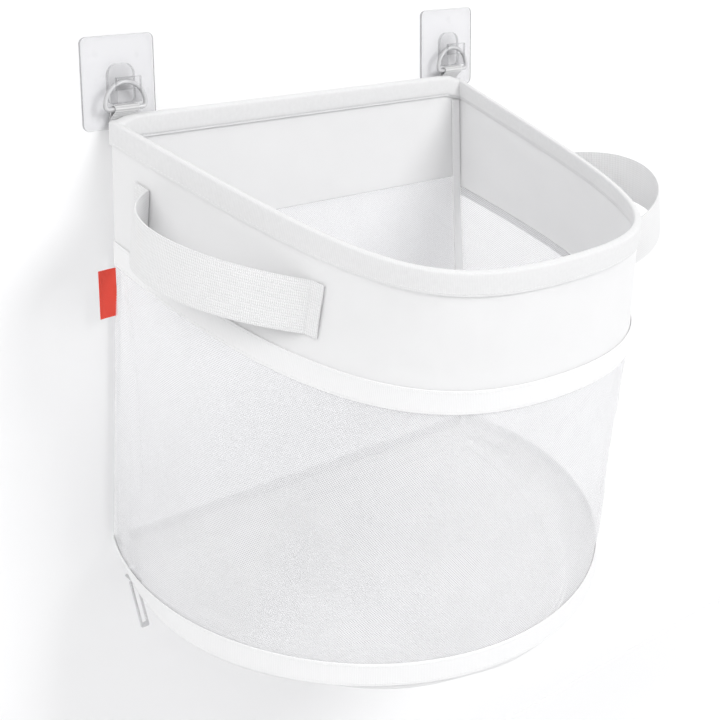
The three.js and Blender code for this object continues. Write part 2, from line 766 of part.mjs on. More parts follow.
// The bridge is an arch that stands out from the slider's underside and holds the pull.
function sliderBridge() {
  const inside = bridgeOpening / 2;
  const outside = inside + bridgeWall;
  const foot = bridgeLevel + sliderWing / 2;
  const arch = new THREE.Shape();
  arch.moveTo(-outside, foot);
  arch.absarc(0, bridgeCentre, outside, Math.PI, 2 * Math.PI, false);
  arch.lineTo(outside, foot);
  arch.lineTo(inside, foot);
  arch.absarc(0, bridgeCentre, inside, 2 * Math.PI, Math.PI, true);
  arch.lineTo(-inside, foot);
  const geometry = extruded(arch, bridgeWidth);
  const axes = [new THREE.Vector3(0, 1, 0), new THREE.Vector3(0, 0, 1), new THREE.Vector3(1, 0, 0)];
  geometry.applyMatrix4(new THREE.Matrix4().makeBasis(...axes));
  geometry.translate(pullMiddle - bridgeWidth / 2, 0, 0);
  return geometry;
}

// A flat frame with a long slot. Its upper bar turns in the bridge.
function pullSolid() {
  const top = pullBar / 2;
  const shape = roundedPlate(pullWidth, top - pullLength, top, pullCorner, pullCorner);
  const half = pullWidth / 2 - pullRail;
  const slotEnd = top - pullLength + pullEnd;
  const slot = new THREE.Path([
    new THREE.Vector2(-half, -top),
    new THREE.Vector2(-half, slotEnd),
    new THREE.Vector2(half, slotEnd),
    new THREE.Vector2(half, -top),
  ]);
  shape.holes.push(slot);
  return crossSectionAlongZip(shape, pullThickness);
}

function addSlider() {
  const carriage = new THREE.Group();
  carriage.position.copy(zipPoint(zipRadius, -sliderRestAngle, 0));
  carriage.rotation.z = THREE.MathUtils.degToRad(-sliderRestAngle - 90);
  zipPlane.add(carriage);
  const pullSwing = new THREE.Group();
  pullSwing.position.set(pullMiddle, 0, bridgeCentre);
  pullSwing.rotation.x = THREE.MathUtils.degToRad(pullLeanAngle);
  carriage.add(pullSwing);
  addPiece(carriage, 'zip_slider', joined([sliderBody(), sliderBridge()]), 'nickel');
  addPiece(pullSwing, 'zip_pull', pullSolid(), 'nickel');
}

for (const [side, label] of [[-1, 'left'], [1, 'right']]) {
  addWallHook(side, label);
  addRing(side, label);
  addHangLoop(side, label);
  addCornerTape(side, label);
}
addPiece(bag, 'handle_left', handleSolid(leftHandle, leftSewingShares), 'webbing');
addPiece(bag, 'handle_right', handleSolid(rightHandle, rightSewingShares), 'webbing');
addRim();
addBand();
addMesh();
addLabel();
addBaseRim();
addZip();
addBasePanel();
addSlider();

const organizer = new THREE.Group();
organizer.add(wallHooks, bag, zipPlane);

export default organizer;
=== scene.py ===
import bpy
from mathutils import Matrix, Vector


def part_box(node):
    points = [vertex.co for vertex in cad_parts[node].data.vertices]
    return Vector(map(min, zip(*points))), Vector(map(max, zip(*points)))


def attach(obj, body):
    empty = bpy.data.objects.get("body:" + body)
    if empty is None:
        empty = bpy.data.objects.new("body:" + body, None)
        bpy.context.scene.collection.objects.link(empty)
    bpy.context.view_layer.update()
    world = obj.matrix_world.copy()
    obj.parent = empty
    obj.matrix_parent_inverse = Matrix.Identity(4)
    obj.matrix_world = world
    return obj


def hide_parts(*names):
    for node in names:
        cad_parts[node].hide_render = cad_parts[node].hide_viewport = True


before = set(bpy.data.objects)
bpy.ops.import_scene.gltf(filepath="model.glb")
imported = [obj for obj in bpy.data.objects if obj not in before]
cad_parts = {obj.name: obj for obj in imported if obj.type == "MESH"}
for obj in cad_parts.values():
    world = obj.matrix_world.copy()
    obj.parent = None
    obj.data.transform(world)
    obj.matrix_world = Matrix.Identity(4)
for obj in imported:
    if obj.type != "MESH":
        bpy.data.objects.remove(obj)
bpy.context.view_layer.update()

import functools
import math

import bmesh
import bpy
from bpy.props import FloatProperty, FloatVectorProperty, PointerProperty
from mathutils import Matrix, Vector, noise

bl_info = {
    "name": "Bath toy organizer",
    "version": (1, 0, 0),
    "blender": (4, 5, 0),
    "location": "3D View > Sidebar > Organizer",
    "description": "Sews the cloth, net, webbing, zip and hooks of a hanging bath toy organizer",
    "category": "Add Mesh",
}

CLOTH_MAP = "Cloth"
SIDES = ((-1, "left"), (1, "right"))

# Creases sharper than these stay sharp, flatter ones are joined up, and points nearer than these are merged
CREASE = math.radians(38)
MOULDED_CREASE = math.radians(35)
COPLANAR = math.radians(1)
SAME_POINT = 1e-6
NO_LENGTH = 1e-7
BEVEL_SEGMENTS = 3

# Steps of the meshes: down or across the cloth, and along it
BAND_DOWN, BAND_ROUND = 34, 260
REAR_BAND_DOWN, REAR_BAND_ACROSS = 24, 120
NET_DOWN, NET_ROUND = 64, 300
REAR_NET_DOWN, REAR_NET_ACROSS = 50, 110
TAPE_DOWN, TAPE_ROUND, RIM_ROUND = 6, 300, 320
CORNER_ACROSS, CORNER_DOWN = 4, 70
SEAM_ROUND, REAR_SEAM_ACROSS = 240, 60
LABEL_ALONG, LABEL_UP = 12, 8
HANDLE_ACROSS, HANDLE_ALONG, HANDLE_END, RUNG_ACROSS = 10, 90, 6, 12
WIRE_SIDES, RING_BAR, RING_BEND, RING_ARCH = 18, 10, 8, 48
LOOP_ACROSS, LOOP_TURN, LOOP_SEAM = 8, 16, 10
BASE_ROUND, CURL_STEPS, BASE_SEAM = 260, 16, 120
FLAP_ROUND, FLAP_DEEP = 96, 30
ZIP_ACROSS, ZIP_ROUND, TOOTH_ROUND = 5, 220, 400


def number(name, description, default, **how):
    return FloatProperty(name=name, description=description, default=default, **how)


def numbers(name, description, default, **how):
    return FloatVectorProperty(name=name, description=description, default=default, size=len(default), **how)


def length(name, description, default):
    return number(name, description, default, unit="LENGTH", subtype="DISTANCE")


def lengths(name, description, default):
    return numbers(name, description, default, unit="LENGTH")


def share(name, description, default):
    return number(name, description, default, min=0, max=1, subtype="FACTOR")


def angle(name, description, degrees):
    return number(name, description, math.radians(degrees), subtype="ANGLE")


def power(name, description, watts):
    return number(name, description, watts, unit="POWER")


def colour(name, description, default):
    return numbers(name, description, default, min=0, max=1, subtype="COLOR")


def group(kind, name, description):
    return PointerProperty(type=kind, name=name, description=description)


class BagSizes(bpy.types.PropertyGroup):
    standoff: length("Standoff", "Gap between the wall and the bag's back", 0.0061)
    rim_drop: length("Rim drop", "How far the rim's back hangs below the hooks' middle", 0.022)
    front_drop: length("Front drop", "How much lower the rim is at the front", 0.0866)
    rim_plan: lengths(
        "Rim outline", "Half width, side reach, side flare, front reach and depth",
        (0.175, 0.205, -0.0249, 0.147, 0.2464),
    )
    band_plan: lengths(
        "Band outline", "The same five at the band's lower edge", (0.1772, 0.1903, 0.0163, 0.1237, 0.2422)
    )
    base_plan: lengths(
        "Base outline", "The same five at the net's lower edge", (0.1896, 0.1134, 0.0599, 0.139, 0.214)
    )
    band_height: length("Band height", "Rim to the band's lower edge", 0.0941)
    rear_band_height: length("Rear band height", "Rim to the seam of the back", 0.077)
    net_height: length("Net height", "Rim to the bottom binding", 0.2813)
    cloth_thickness: length("Cloth thickness", "Smooth lined cloth", 0.0012)
    net_thickness: length("Net thickness", "Sheer net", 0.0006)
    net_relief: length("Net relief", "How far the slack net wanders in and out", 0.0016)
    cloth_relief: length("Cloth relief", "How deep the band's soft dents are", 0.0006)
    crease_depth: length("Crease depth", "Diagonal crease in the net beside the wall", 0.0022)
    base_sag: length("Base sag", "How far the base flap sags in its middle", 0.0035)
    corner_tuck: length("Corner tuck", "How far the bottom binding is drawn in at the wall", 0.006)
    tuck_start: share("Tuck start", "Station where the binding starts to draw in", 0.65)
    tuck_full: share("Tuck full", "Station where it is drawn in all the way", 0.97)


class TapeSizes(bpy.types.PropertyGroup):
    thickness: length("Tape thickness", "Binding and seam tape", 0.0008)
    gap: length("Layer gap", "Air between sewn layers", 0.0003)
    rim_height: length("Rim binding height", "Rim tape seen from the side", 0.0154)
    rim_inset: length("Rim binding inset", "Inner face of the rim tape", 0.0041)
    rim_round: length("Rim binding round", "Round of the folded rim tape", 0.0017)
    rear_lift: length("Rear lift", "How far the hang loops draw up the rim's back", 0.0035)
    band_tape: length("Band tape height", "Tape over the band's lower seam", 0.016)
    bottom_tape: length("Bottom binding height", "Tape over the net's lower seam", 0.0157)
    corner_width: length("Corner tape width", "Upright tapes inside the rear corners", 0.008)
    corner_margin: length("Corner tape margin", "From the corner to the tape", 0.003)
    rib_pitch: length("Rib pitch", "Ribs of the binding tape", 0.0012)


class HandleSizes(bpy.types.PropertyGroup):
    width: length("Width", "Webbing width", 0.034)
    thickness: length("Thickness", "Webbing thickness", 0.0015)
    depth: length("Depth", "Rim to the webbing's middle", 0.0465)
    left_sewing: numbers(
        "Left sewing", "Shares of the way round where the webbing begins, leaves, meets and ends",
        (0.038, 0.06, 0.365, 0.392),
    )
    right_sewing: numbers("Right sewing", "The same four of the right handle", (0.118, 0.14, 0.45, 0.477))
    left_bow: numbers(
        "Left bow", "Rise share, rise, fall share, fall and lift of the bow", (0.14, 0.072, 0.6, 0.026, 0.0)
    )
    right_bow: numbers("Right bow", "The same five of the right handle", (0.5, 0.0584, 0.7, 0.0835, 0.0259))
    rib_pitch: length("Rib pitch", "Ribs across the webbing", 0.00125)


class HardwareSizes(bpy.types.PropertyGroup):
    hook_offset: length("Hook offset", "From the middle to each hook", 0.164)
    ring_plane: length("Ring distance", "From the wall to the rings' middle", 0.00785)
    bar_drop: length("Bar drop", "From the hooks' middle down to the rings' lower bars", 0.0165)
    ring_half_width: length("Ring half width", "Half the ring's width at the wire's middle", 0.0165)
    ring_rise: length("Ring rise", "Height of the ring at the wire's middle", 0.017)
    ring_corner: length("Ring corner", "Bend between the ring's bar and arch", 0.0025)
    wire_radius: length("Wire radius", "Half the ring's thickness", 0.0015)
    loop_width: length("Loop width", "Webbing of the hang loops", 0.02)
    loop_thickness: length("Loop thickness", "Webbing of the hang loops", 0.0008)
    loop_back: length("Loop back", "From the wall to the hang loops' webbing", 0.0029)
    soft_edge: length("Soft edge", "Round on the edges of the clear mouldings", 0.0006)


class ZipSizes(bpy.types.PropertyGroup):
    radius: length("Zip radius", "Arc that the zip follows", 0.184)
    centre_setback: length("Centre setback", "From the wall to the arc's centre", 0.03)
    hinge_setback: length("Hinge setback", "From the wall to the flap's hinge line", 0.014)
    end_angle: angle("End angle", "Half of the zip's arc", 93.427)
    drop: length("Zip drop", "Rim to the zip's plane at the wall", 0.3005)
    row_gap: length("Row gap", "Between the two rows of teeth", 0.0007)
    tooth_pitch: length("Tooth pitch", "From tooth to tooth", 0.0021)
    tooth_length: length("Tooth length", "Across the zip", 0.0021)
    tooth_width: length("Tooth width", "Along the zip", 0.0011)
    tooth_height: length("Tooth height", "Down from the tape", 0.0012)
    hem_setback: length("Hem setback", "From the zip's middle to the cloth", 0.0035)
    tape_reach: length("Tape reach", "Flap side of the tape", 0.011)
    tape_thickness: length("Tape thickness", "Zip tape", 0.0005)
    soft_edge: length("Soft edge", "Round on the slider's and pull's edges", 0.0003)


class StitchSizes(bpy.types.PropertyGroup):
    pitch: length("Pitch", "From stitch to stitch", 0.0031)
    stitch: length("Stitch length", "Length of the thread that shows", 0.0024)
    thread: length("Thread", "Thickness of the sewing thread", 0.00042)
    edge: length("Edge distance", "From a tape's edge to its stitches", 0.0018)


class Finishes(bpy.types.PropertyGroup):
    cloth: colour("Cloth", "Smooth white cloth", (0.82, 0.82, 0.825))
    webbing: colour("Webbing", "White ribbed webbing", (0.84, 0.84, 0.845))
    tape: colour("Tape", "Binding tape, a little greyer than the cloth", (0.77, 0.77, 0.775))
    net: colour("Net", "Sheer white net", (0.92, 0.92, 0.935))
    thread: colour("Thread", "Sewing thread", (0.84, 0.84, 0.845))
    plastic: colour("Clear plastic", "Hooks and their plates", (0.66, 0.66, 0.68))
    adhesive: colour("Adhesive", "Milky sheet behind each plate", (0.77, 0.77, 0.785))
    ring: colour("Ring plastic", "Pale rings", (0.86, 0.86, 0.875))
    zip: colour("Zip plastic", "Zip teeth and stops", (0.84, 0.84, 0.85))
    nickel: colour("Nickel", "Slider and pull", (0.78, 0.78, 0.79))
    label: colour("Label", "Bare woven label", (0.83, 0.045, 0.018))
    net_cover: share("Net cover", "How much one face of the net hides", 0.25)


class StageSettings(bpy.types.PropertyGroup):
    lens: number("Lens", "Focal length", 85, unit="CAMERA")
    camera_place: lengths("Camera", "Where the camera stands", (-0.8703, -0.8787, 0.1192))
    camera_target: lengths("Target", "Where the camera looks", (0.0, -0.1188, -0.1949))
    shift: numbers("Shift", "Lens shift", (-0.085, -0.0096))
    floor_level: length("Floor level", "Height of the floor", -0.62)
    room_size: length("Room size", "Half width of the floor and the wall", 3.0)
    key_power: power("Key light", "Soft light from the right", 21)
    fill_power: power("Fill light", "Soft light from the left", 12)
    back_power: power("Back light", "Soft light behind the wall", 9)
    daylight: number("Daylight", "Even light of the room", 0.75)


# Plain shapes


def smooth(low, high, value):
    """0 below low, 1 above high and a soft step between them."""
    t = min(max((value - low) / (high - low), 0), 1)
    return t * t * (3 - 2 * t)


def mixed(a, b, t):
    return a + (b - a) * t


def steps(low, high, count):
    return [mixed(low, high, i / count) for i in range(count + 1)]


def running_length(points):
    total = [0.0]
    for before, after in zip(points, points[1:]):
        total.append(total[-1] + (after - before).length)
    return total


def directions(path):
    """The way that an open path runs at each of its points."""
    pairs = zip([path[0], *path], [*path[1:], path[-1]])
    return [(after - before).normalized() for before, after in pairs]


def linked(name, data):
    """An object of a mesh, a lamp or a camera, put in the scene."""
    made = bpy.data.objects.new(name, data)
    bpy.context.scene.collection.objects.link(made)
    return made


def smoothed(mesh, crease=CREASE):
    mesh.shade_smooth()
    mesh.set_sharp_from_angle(angle=crease)


def finished(name, points, faces, corners):
    """A piece from its points, faces and map, merged, with its faces out and its creases sharp."""
    mesh = bpy.data.meshes.new(name)
    mesh.from_pydata([tuple(p) for p in points], [], faces)
    layer = mesh.uv_layers.new(name=CLOTH_MAP)
    layer.data.foreach_set("uv", [value for corner in corners for value in corner])
    shape = bmesh.new()
    shape.from_mesh(mesh)
    bmesh.ops.remove_doubles(shape, verts=shape.verts, dist=SAME_POINT)
    bmesh.ops.dissolve_degenerate(shape, edges=shape.edges, dist=NO_LENGTH)
    bmesh.ops.recalc_face_normals(shape, faces=shape.faces)
    shape.to_mesh(mesh)
    shape.free()
    smoothed(mesh)
    return linked(name, mesh)


def sweep(name, rings, closed=False, guide=0):
    """Joins equal rings of points into one closed piece.

    Its map is in metres: along the rings at the guide point, and around the middle ring.
    """
    count, size = len(rings), len(rings[0])
    route = [ring[guide] for ring in rings] + ([rings[0][guide]] if closed else [])
    along = running_length(route)
    middle = rings[count // 2]
    around = running_length([*middle, middle[0]])
    faces, corners = [], []
    for i in range(count if closed else count - 1):
        here, there = i * size, (i + 1) % count * size
        for a in range(size):
            b = (a + 1) % size
            faces.append((here + a, here + b, there + b, there + a))
            u, v = (along[i], along[i + 1]), (around[a], around[a + 1])
            corners += [(u[0], v[0]), (u[0], v[1]), (u[1], v[1]), (u[1], v[0])]
    if not closed:
        for i in (0, count - 1):
            for a in range(size // 2 - 1):
                pair = (a, a + 1, size - 2 - a, size - 1 - a)
                faces.append(tuple(i * size + k for k in pair))
                corners += [(along[i], around[k]) for k in pair]
    return finished(name, [p for ring in rings for p in ring], faces, corners)


def strip_section(outer, inner, depths, round_share=0.3):
    """Section of a strip of cloth, as inset and depth, with its long edges a little rounded."""
    soft = (inner - outer) * round_share
    levels = [depths[0] + soft, *depths[1:-1], depths[-1] - soft]
    down = [(outer + soft, depths[0]), *((outer, d) for d in levels), (outer + soft, depths[-1])]
    up = [(inner - soft, depths[-1]), *((inner, d) for d in reversed(levels)), (inner - soft, depths[0])]
    return down + up


def there_and_back(low, high, count):
    """Shares across a strap with their side: over its one face, and back over the other."""
    return [(k, 1) for k in steps(low, high, count)] + [(k, -1) for k in steps(high, low, count)]


def moulding(node, name, soft_edge, body, slot, kind):
    """The rigid solid of a node with its flat faces joined up and its edges rounded, dressed."""
    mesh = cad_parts[node].data.copy()
    mesh.name = name
    shape = bmesh.new()
    shape.from_mesh(mesh)
    bmesh.ops.remove_doubles(shape, verts=shape.verts, dist=SAME_POINT)
    bmesh.ops.dissolve_limit(shape, angle_limit=COPLANAR, verts=shape.verts, edges=shape.edges)
    shape.to_mesh(mesh)
    shape.free()
    piece = linked(name, mesh)
    bevel = piece.modifiers.new("Soft edge", "BEVEL")
    bevel.width = soft_edge
    bevel.segments = BEVEL_SEGMENTS
    bevel.limit_method = "ANGLE"
    bevel.angle_limit = MOULDED_CREASE
    return dress(baked(piece, MOULDED_CREASE), body, slot, kind, node)


def baked(piece, crease=CREASE):
    """Turns a piece and its modifiers into one plain mesh."""
    graph = bpy.context.evaluated_depsgraph_get()
    graph.update()
    mesh = bpy.data.meshes.new_from_object(piece.evaluated_get(graph))
    piece.modifiers.clear()
    piece.data = mesh
    smoothed(mesh, crease)
    return piece


def dress(piece, body, slot, kind, *nodes):
    """Gives a piece its finish, hides the solids that it replaces, and lets it ride on its body."""
    piece.data.materials.clear()
    piece.data.materials.append(finish(kind))
    for face in piece.data.polygons:
        face.material_index = 0
    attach(piece, body)
    if nodes:
        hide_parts(*nodes)
    return piece


def settings():
    return bpy.context.scene.organizer


# The bag's outline

# Share of the half width over which the rear rim rises to the hang loops, and depths where its lift fades
LIFT_RUN = 0.1
LIFT_FADE = (0.015, 0.07)


@functools.lru_cache(maxsize=None)
def plan_at(plan, standoff, t):
    """A point of a D outline and the unit normal into the bag, for t from 0 at the wall to 1 at the front."""
    half, reach, flare, front, depth = plan
    p0, p1 = Vector((half, -standoff)), Vector((half + flare, -reach))
    p2, p3 = Vector((front, -depth)), Vector((0, -depth))
    s = 1 - t
    point = p0 * s**3 + p1 * 3 * s * s * t + p2 * 3 * s * t * t + p3 * t**3
    run = ((p1 - p0) * s * s + (p2 - p1) * 2 * s * t + (p3 - p2) * t * t).normalized()
    return point, Vector((run.y, -run.x))


class BagWall:
    """Points of the bag's wall, by depth below the rim and by station.

    The station is -1 at the wall on the left, 0 at the front and 1 at the wall on the right.
    """

    def __init__(self):
        bag = settings().bag
        self.plans = tuple(tuple(p) for p in (bag.rim_plan, bag.band_plan, bag.base_plan))
        self.standoff, self.rim_drop = bag.standoff, bag.rim_drop
        self.band, self.net = bag.band_height, bag.net_height
        self.slope = bag.front_drop / bag.rim_plan[4]
        self.tuck = bag.corner_tuck / settings().tape.bottom_tape
        self.tuck_start, self.tuck_full = bag.tuck_start, bag.tuck_full

    def place(self, x, y, depth):
        return Vector((x, y, -self.rim_drop - depth + self.slope * y))

    def flat_point(self, depth, station, inset, mitred=False):
        side = -1 if station < 0 else 1
        t = 1 - abs(station)
        high = depth < self.band
        upper, lower = (self.plans[0], self.plans[1]) if high else (self.plans[1], self.plans[2])
        top, bottom = (0, self.band) if high else (self.band, self.net)
        blend = min(max((depth - top) / (bottom - top), 0), 1)
        (a, inward_a), (b, inward_b) = plan_at(upper, self.standoff, t), plan_at(lower, self.standoff, t)
        inward = inward_a.lerp(inward_b, blend).normalized()
        if t == 0:
            back = 1 if mitred else 0
            inward = Vector(((1 + back * inward.y) / inward.x, -back))
        point = a.lerp(b, blend)
        tucked = smooth(self.tuck_start, self.tuck_full, abs(station))
        point.x -= self.tuck * max(depth - self.net, 0) * tucked
        point += inward * inset
        return side * point.x, point.y

    def point(self, depth, station, inset, mitred=False):
        return self.place(*self.flat_point(depth, station, inset, mitred), depth)

    def half_width(self, depth):
        return self.flat_point(depth, 1, 0)[0]


def no_relief(along, depth):
    return 0.0


def drawn_up(across):
    """Share of the rear rim's lift: none at the corners, all of it from the hang loops on."""
    return smooth(0, LIFT_RUN, 1 - abs(across))


def close_behind(rings, lift=0.0):
    """Goes on with the rings straight along the bag's back, which the hang loops draw up by lift."""
    first, last, across = rings[0], rings[-1], len(rings) // 2
    for i in range(1, across):
        up = Vector((0, 0, lift * drawn_up(2 * i / across - 1)))
        rings.append([a.lerp(b, i / across) + up for a, b in zip(last, first)])


def side_rings(wall, section, count, closed=False, relief=no_relief, lift=0.0):
    """Rings of a strip round the sides and front, and along the back as well where it is closed."""
    rings = []
    for station in steps(-1, 1, count):
        rings.append([wall.point(d, station, i - relief(station, d), closed) for i, d in section])
    if closed:
        close_behind(rings, lift)
    return rings


def rear_rings(wall, depths, thickness, count, relief, lift=0.0):
    """Rings of a flat cloth in the bag's back, from side to side between the side cloths."""
    margin = settings().bag.cloth_thickness + settings().tape.gap
    rings = []
    for across in steps(-1, 1, count):
        ring = []
        for inset, depth in strip_section(0, thickness, depths):
            x = across * (wall.half_width(depth) - margin)
            up = lift * drawn_up(across) * (1 - smooth(*LIFT_FADE, depth))
            ring.append(wall.place(x, -wall.standoff - inset - relief(across, depth), depth - up))
        rings.append(ring)
    return rings


def sewn(name, rings, body, slot, kind, node, closed=False, guide=0):
    """A piece of cloth, net or webbing from its rings, dressed."""
    return dress(sweep(name, rings, closed, guide), body, slot, kind, node)


def webbing(name, rings, node, kind="seam", body="bag", closed=False):
    return sewn(name, rings, body, "white_webbing", kind, node, closed)


def cloth(name, rings, node, rests_on, kind="cloth", held="hung", closed=False):
    """A cloth or net of the bag, sewn from its rings and dressed."""
    piece = sewn(name, rings, "bag", "sheer_mesh" if kind == "net" else "white_fabric", kind, node, closed)


# Finishes


class Finish:
    """One material and the nodes that pattern it."""

    def __init__(self, name, base, roughness):
        self.material = bpy.data.materials.new(name)
        self.material.use_nodes = True
        self.tree = self.material.node_tree
        self.surface = self.tree.nodes["Principled BSDF"]
        self.base = (*base, 1)
        self.set("Base Color", self.base)
        self.set("Roughness", roughness)

    def set(self, socket, value):
        self.surface.inputs[socket].default_value = value

    def node(self, kind, **values):
        made = self.tree.nodes.new(kind)
        for key, value in values.items():
            setattr(made, key, value)
        return made

    def link(self, source, target):
        if isinstance(source, bpy.types.NodeSocket):
            self.tree.links.new(source, target)
        else:
            target.default_value = source

    def math(self, operation, a, b=0.0, c=0.0):
        made = self.node("ShaderNodeMath", operation=operation)
        for value, socket in zip((a, b, c), made.inputs):
            self.link(value, socket)
        return made.outputs[0]

    def map_axes(self):
        """The cloth's own coordinates in metres, along and across."""
        parts = self.node("ShaderNodeSeparateXYZ")
        self.link(self.node("ShaderNodeUVMap", uv_map=CLOTH_MAP).outputs["UV"], parts.inputs[0])
        return parts.outputs[0], parts.outputs[1]

    def wave(self, axis, pitch):
        """A wave between 0 and 1 along an axis in metres."""
        turn = self.math("MULTIPLY", axis, 2 * math.pi / pitch)
        return self.math("MULTIPLY_ADD", self.math("COSINE", turn), 0.5, 0.5)

    def cloud(self, scale, detail=2.0, own_map=False):
        source = self.node("ShaderNodeTexCoord").outputs["Object"]
        if own_map:
            source = self.node("ShaderNodeUVMap", uv_map=CLOTH_MAP).outputs["UV"]
        made = self.node("ShaderNodeTexNoise")
        made.inputs["Scale"].default_value = scale
        made.inputs["Detail"].default_value = detail
        self.link(source, made.inputs["Vector"])
        return made.outputs["Fac"]

    def shade(self, value, darkest):
        """Colour from darkest times the base, where value is 0, to the base, where it is 1."""
        ramp = self.node("ShaderNodeMix", data_type="RGBA")
        self.link(value, ramp.inputs["Factor"])
        ramp.inputs["A"].default_value = (*(c * darkest for c in self.base[:3]), 1)
        ramp.inputs["B"].default_value = self.base
        self.link(ramp.outputs["Result"], self.surface.inputs["Base Color"])

    def raise_by(self, height, distance, strength=1.0):
        bump = self.node("ShaderNodeBump")
        bump.inputs["Distance"].default_value = distance
        bump.inputs["Strength"].default_value = strength
        self.link(height, bump.inputs["Height"])
        self.link(bump.outputs["Normal"], self.surface.inputs["Normal"])

    def rough_between(self, value, low, high):
        spread = self.math("MULTIPLY_ADD", value, high - low, low)
        self.link(spread, self.surface.inputs["Roughness"])

    def blend(self, a, share_a, b, share_b):
        return self.math("MULTIPLY_ADD", a, share_a, self.math("MULTIPLY", b, share_b))

    def sheen(self, weight, roughness=0.5, specular=0.3):
        self.set("Sheen Weight", weight)
        self.set("Sheen Roughness", roughness)
        self.set("Specular IOR Level", specular)


def woven_cloth(name, base, pitch=0.00055, roughness=0.82, uneven=0.08, clouding=0.7, cloud_height=0.9):
    """Close plain weave: threads over and under each other, faint cloudiness, and painted shade in the
    weave's hollows.
    """
    made = Finish(name, base, roughness)
    along, across = made.map_axes()
    warp, weft = made.wave(along, pitch), made.wave(across, pitch)
    weave = made.math("MULTIPLY", warp, weft)
    cloud = made.cloud(scale=26, own_map=True)
    # Colour: random cloudiness mixed with painted shade, a little darker where the weave's threads dip.
    made.shade(made.blend(cloud, clouding, weave, 1 - clouding), darkest=0.95)
    made.raise_by(made.math("MULTIPLY_ADD", cloud, cloud_height, weave), distance=0.00009)
    made.rough_between(cloud, roughness - uneven, roughness + uneven)
    made.sheen(weight=0.12)
    return made.material


def ribbed_tape(
    name, base, pitch, depth, groove_shade=0.86, thread_pitch=None, thread_share=0.22, mottle=0.25, grain=60,
    rib_power=0.7, threads_per_rib=2.4,
):
    """Ribs across a tape, in its own map, over a fine lengthwise thread, with painted shade in the grooves
    between the ribs.
    """
    made = Finish(name, base, roughness=0.75)
    along, across = made.map_axes()
    ribs = made.math("POWER", made.wave(along, pitch), rib_power)
    threads = made.wave(across, thread_pitch or pitch / threads_per_rib)
    height = made.math("MULTIPLY_ADD", threads, thread_share, ribs)
    cloud = made.cloud(grain, own_map=True)
    # Painted shade: the colour darkens in the grooves between the ribs, mixed with random mottle.
    made.shade(made.blend(cloud, mottle, height, 1 - mottle), darkest=groove_shade)
    made.raise_by(height, depth)
    made.rough_between(cloud, low=0.66, high=0.84)
    made.sheen(weight=0.1)
    return made.material


def sheer_net(name, base, cover, pitch=0.0012, thread_share=0.3, thread_cover=0.3, uneven=0.12):
    """A net of fine slanting threads with open cells, in the cloth's own map, with painted shade between the
    threads.
    """
    made = Finish(name, base, roughness=0.6)
    along, across = made.map_axes()
    slant = made.math("ADD", along, across), made.math("SUBTRACT", along, across)
    lines = [made.math("POWER", made.wave(axis, pitch * math.sqrt(2)), 1 / thread_share) for axis in slant]
    threads = made.math("MAXIMUM", *lines)
    cloud = made.cloud(scale=14, own_map=True)
    haze = made.math("MULTIPLY_ADD", cloud, 2 * uneven, cover - uneven)
    made.link(made.math("MULTIPLY_ADD", threads, thread_cover, haze), made.surface.inputs["Alpha"])
    made.raise_by(threads, distance=0.00008)
    # Colour: random cloudiness mixed with painted shade, a little darker in the cells between the raised
    # threads.
    made.shade(made.blend(cloud, 0.5, threads, 0.5), darkest=0.94)
    made.sheen(weight=0.3, roughness=0.4, specular=0.4)
    return made.material


def woven_label(name, base, thread_share=0.4):
    """Fine ribs both ways, without any print, with painted shade in the hollows between the ribs."""
    made = Finish(name, base, roughness=0.55)
    along, across = made.map_axes()
    ribs = made.wave(across, pitch=0.0004)
    threads = made.wave(along, pitch=0.0003)
    height = made.math("MULTIPLY_ADD", threads, thread_share, ribs)
    # Colour: random cloudiness mixed with painted shade, darker where the ribs dip.
    made.shade(made.blend(made.cloud(scale=90, own_map=True), 0.4, height, 0.5), darkest=0.86)
    made.raise_by(height, distance=0.00006)
    made.set("Sheen Weight", 0.08)
    return made.material


def clear_plastic(name, base, cover, edge_cover, haze=0.1, clearest=0.6, haziest=1.5, falloff=3):
    """Clear moulded plastic, denser on its sides than on its front, which faces along Y, with its sides
    greyed as painted shade.
    """
    made = Finish(name, base, haze)
    cloud = made.cloud(scale=140, detail=1.0)
    made.rough_between(cloud, haze * clearest, haze * haziest)
    made.raise_by(cloud, distance=0.00003, strength=0.6)
    parts = made.node("ShaderNodeSeparateXYZ")
    made.link(made.node("ShaderNodeTexCoord").outputs["Normal"], parts.inputs[0])
    front = made.math("POWER", made.math("ABSOLUTE", parts.outputs["Y"]), falloff)
    made.link(made.math("MULTIPLY_ADD", front, cover - edge_cover, edge_cover), made.surface.inputs["Alpha"])
    # Painted shade: the sides, away from the Y-facing front, are coloured down to half the base.
    made.shade(front, darkest=0.5)
    made.set("IOR", 1.49)
    made.set("Coat Weight", 0.4)
    return made.material


def moulded_plastic(name, base, roughness=0.4, smoother=0.08, rougher=0.1):
    made = Finish(name, base, roughness)
    cloud = made.cloud(scale=420)
    made.raise_by(cloud, distance=0.00003)
    made.rough_between(cloud, roughness - smoother, roughness + rougher)
    made.shade(made.cloud(scale=60), darkest=0.94)
    return made.material


def plated_nickel(name, base):
    """Bright plating with fine handling scratches."""
    made = Finish(name, base, roughness=0.22)
    made.set("Metallic", 1.0)
    made.raise_by(made.cloud(scale=900, detail=3.0), distance=0.00001, strength=0.5)
    made.rough_between(made.cloud(scale=160), low=0.14, high=0.32)
    made.shade(made.cloud(scale=90), darkest=0.88)
    return made.material


def sewing_thread(name, base):
    made = Finish(name, base, roughness=0.6)
    twist = made.cloud(scale=1500, detail=1.0)
    made.shade(twist, darkest=0.9)
    made.raise_by(twist, distance=0.00004)
    made.set("Sheen Weight", 0.15)
    return made.material


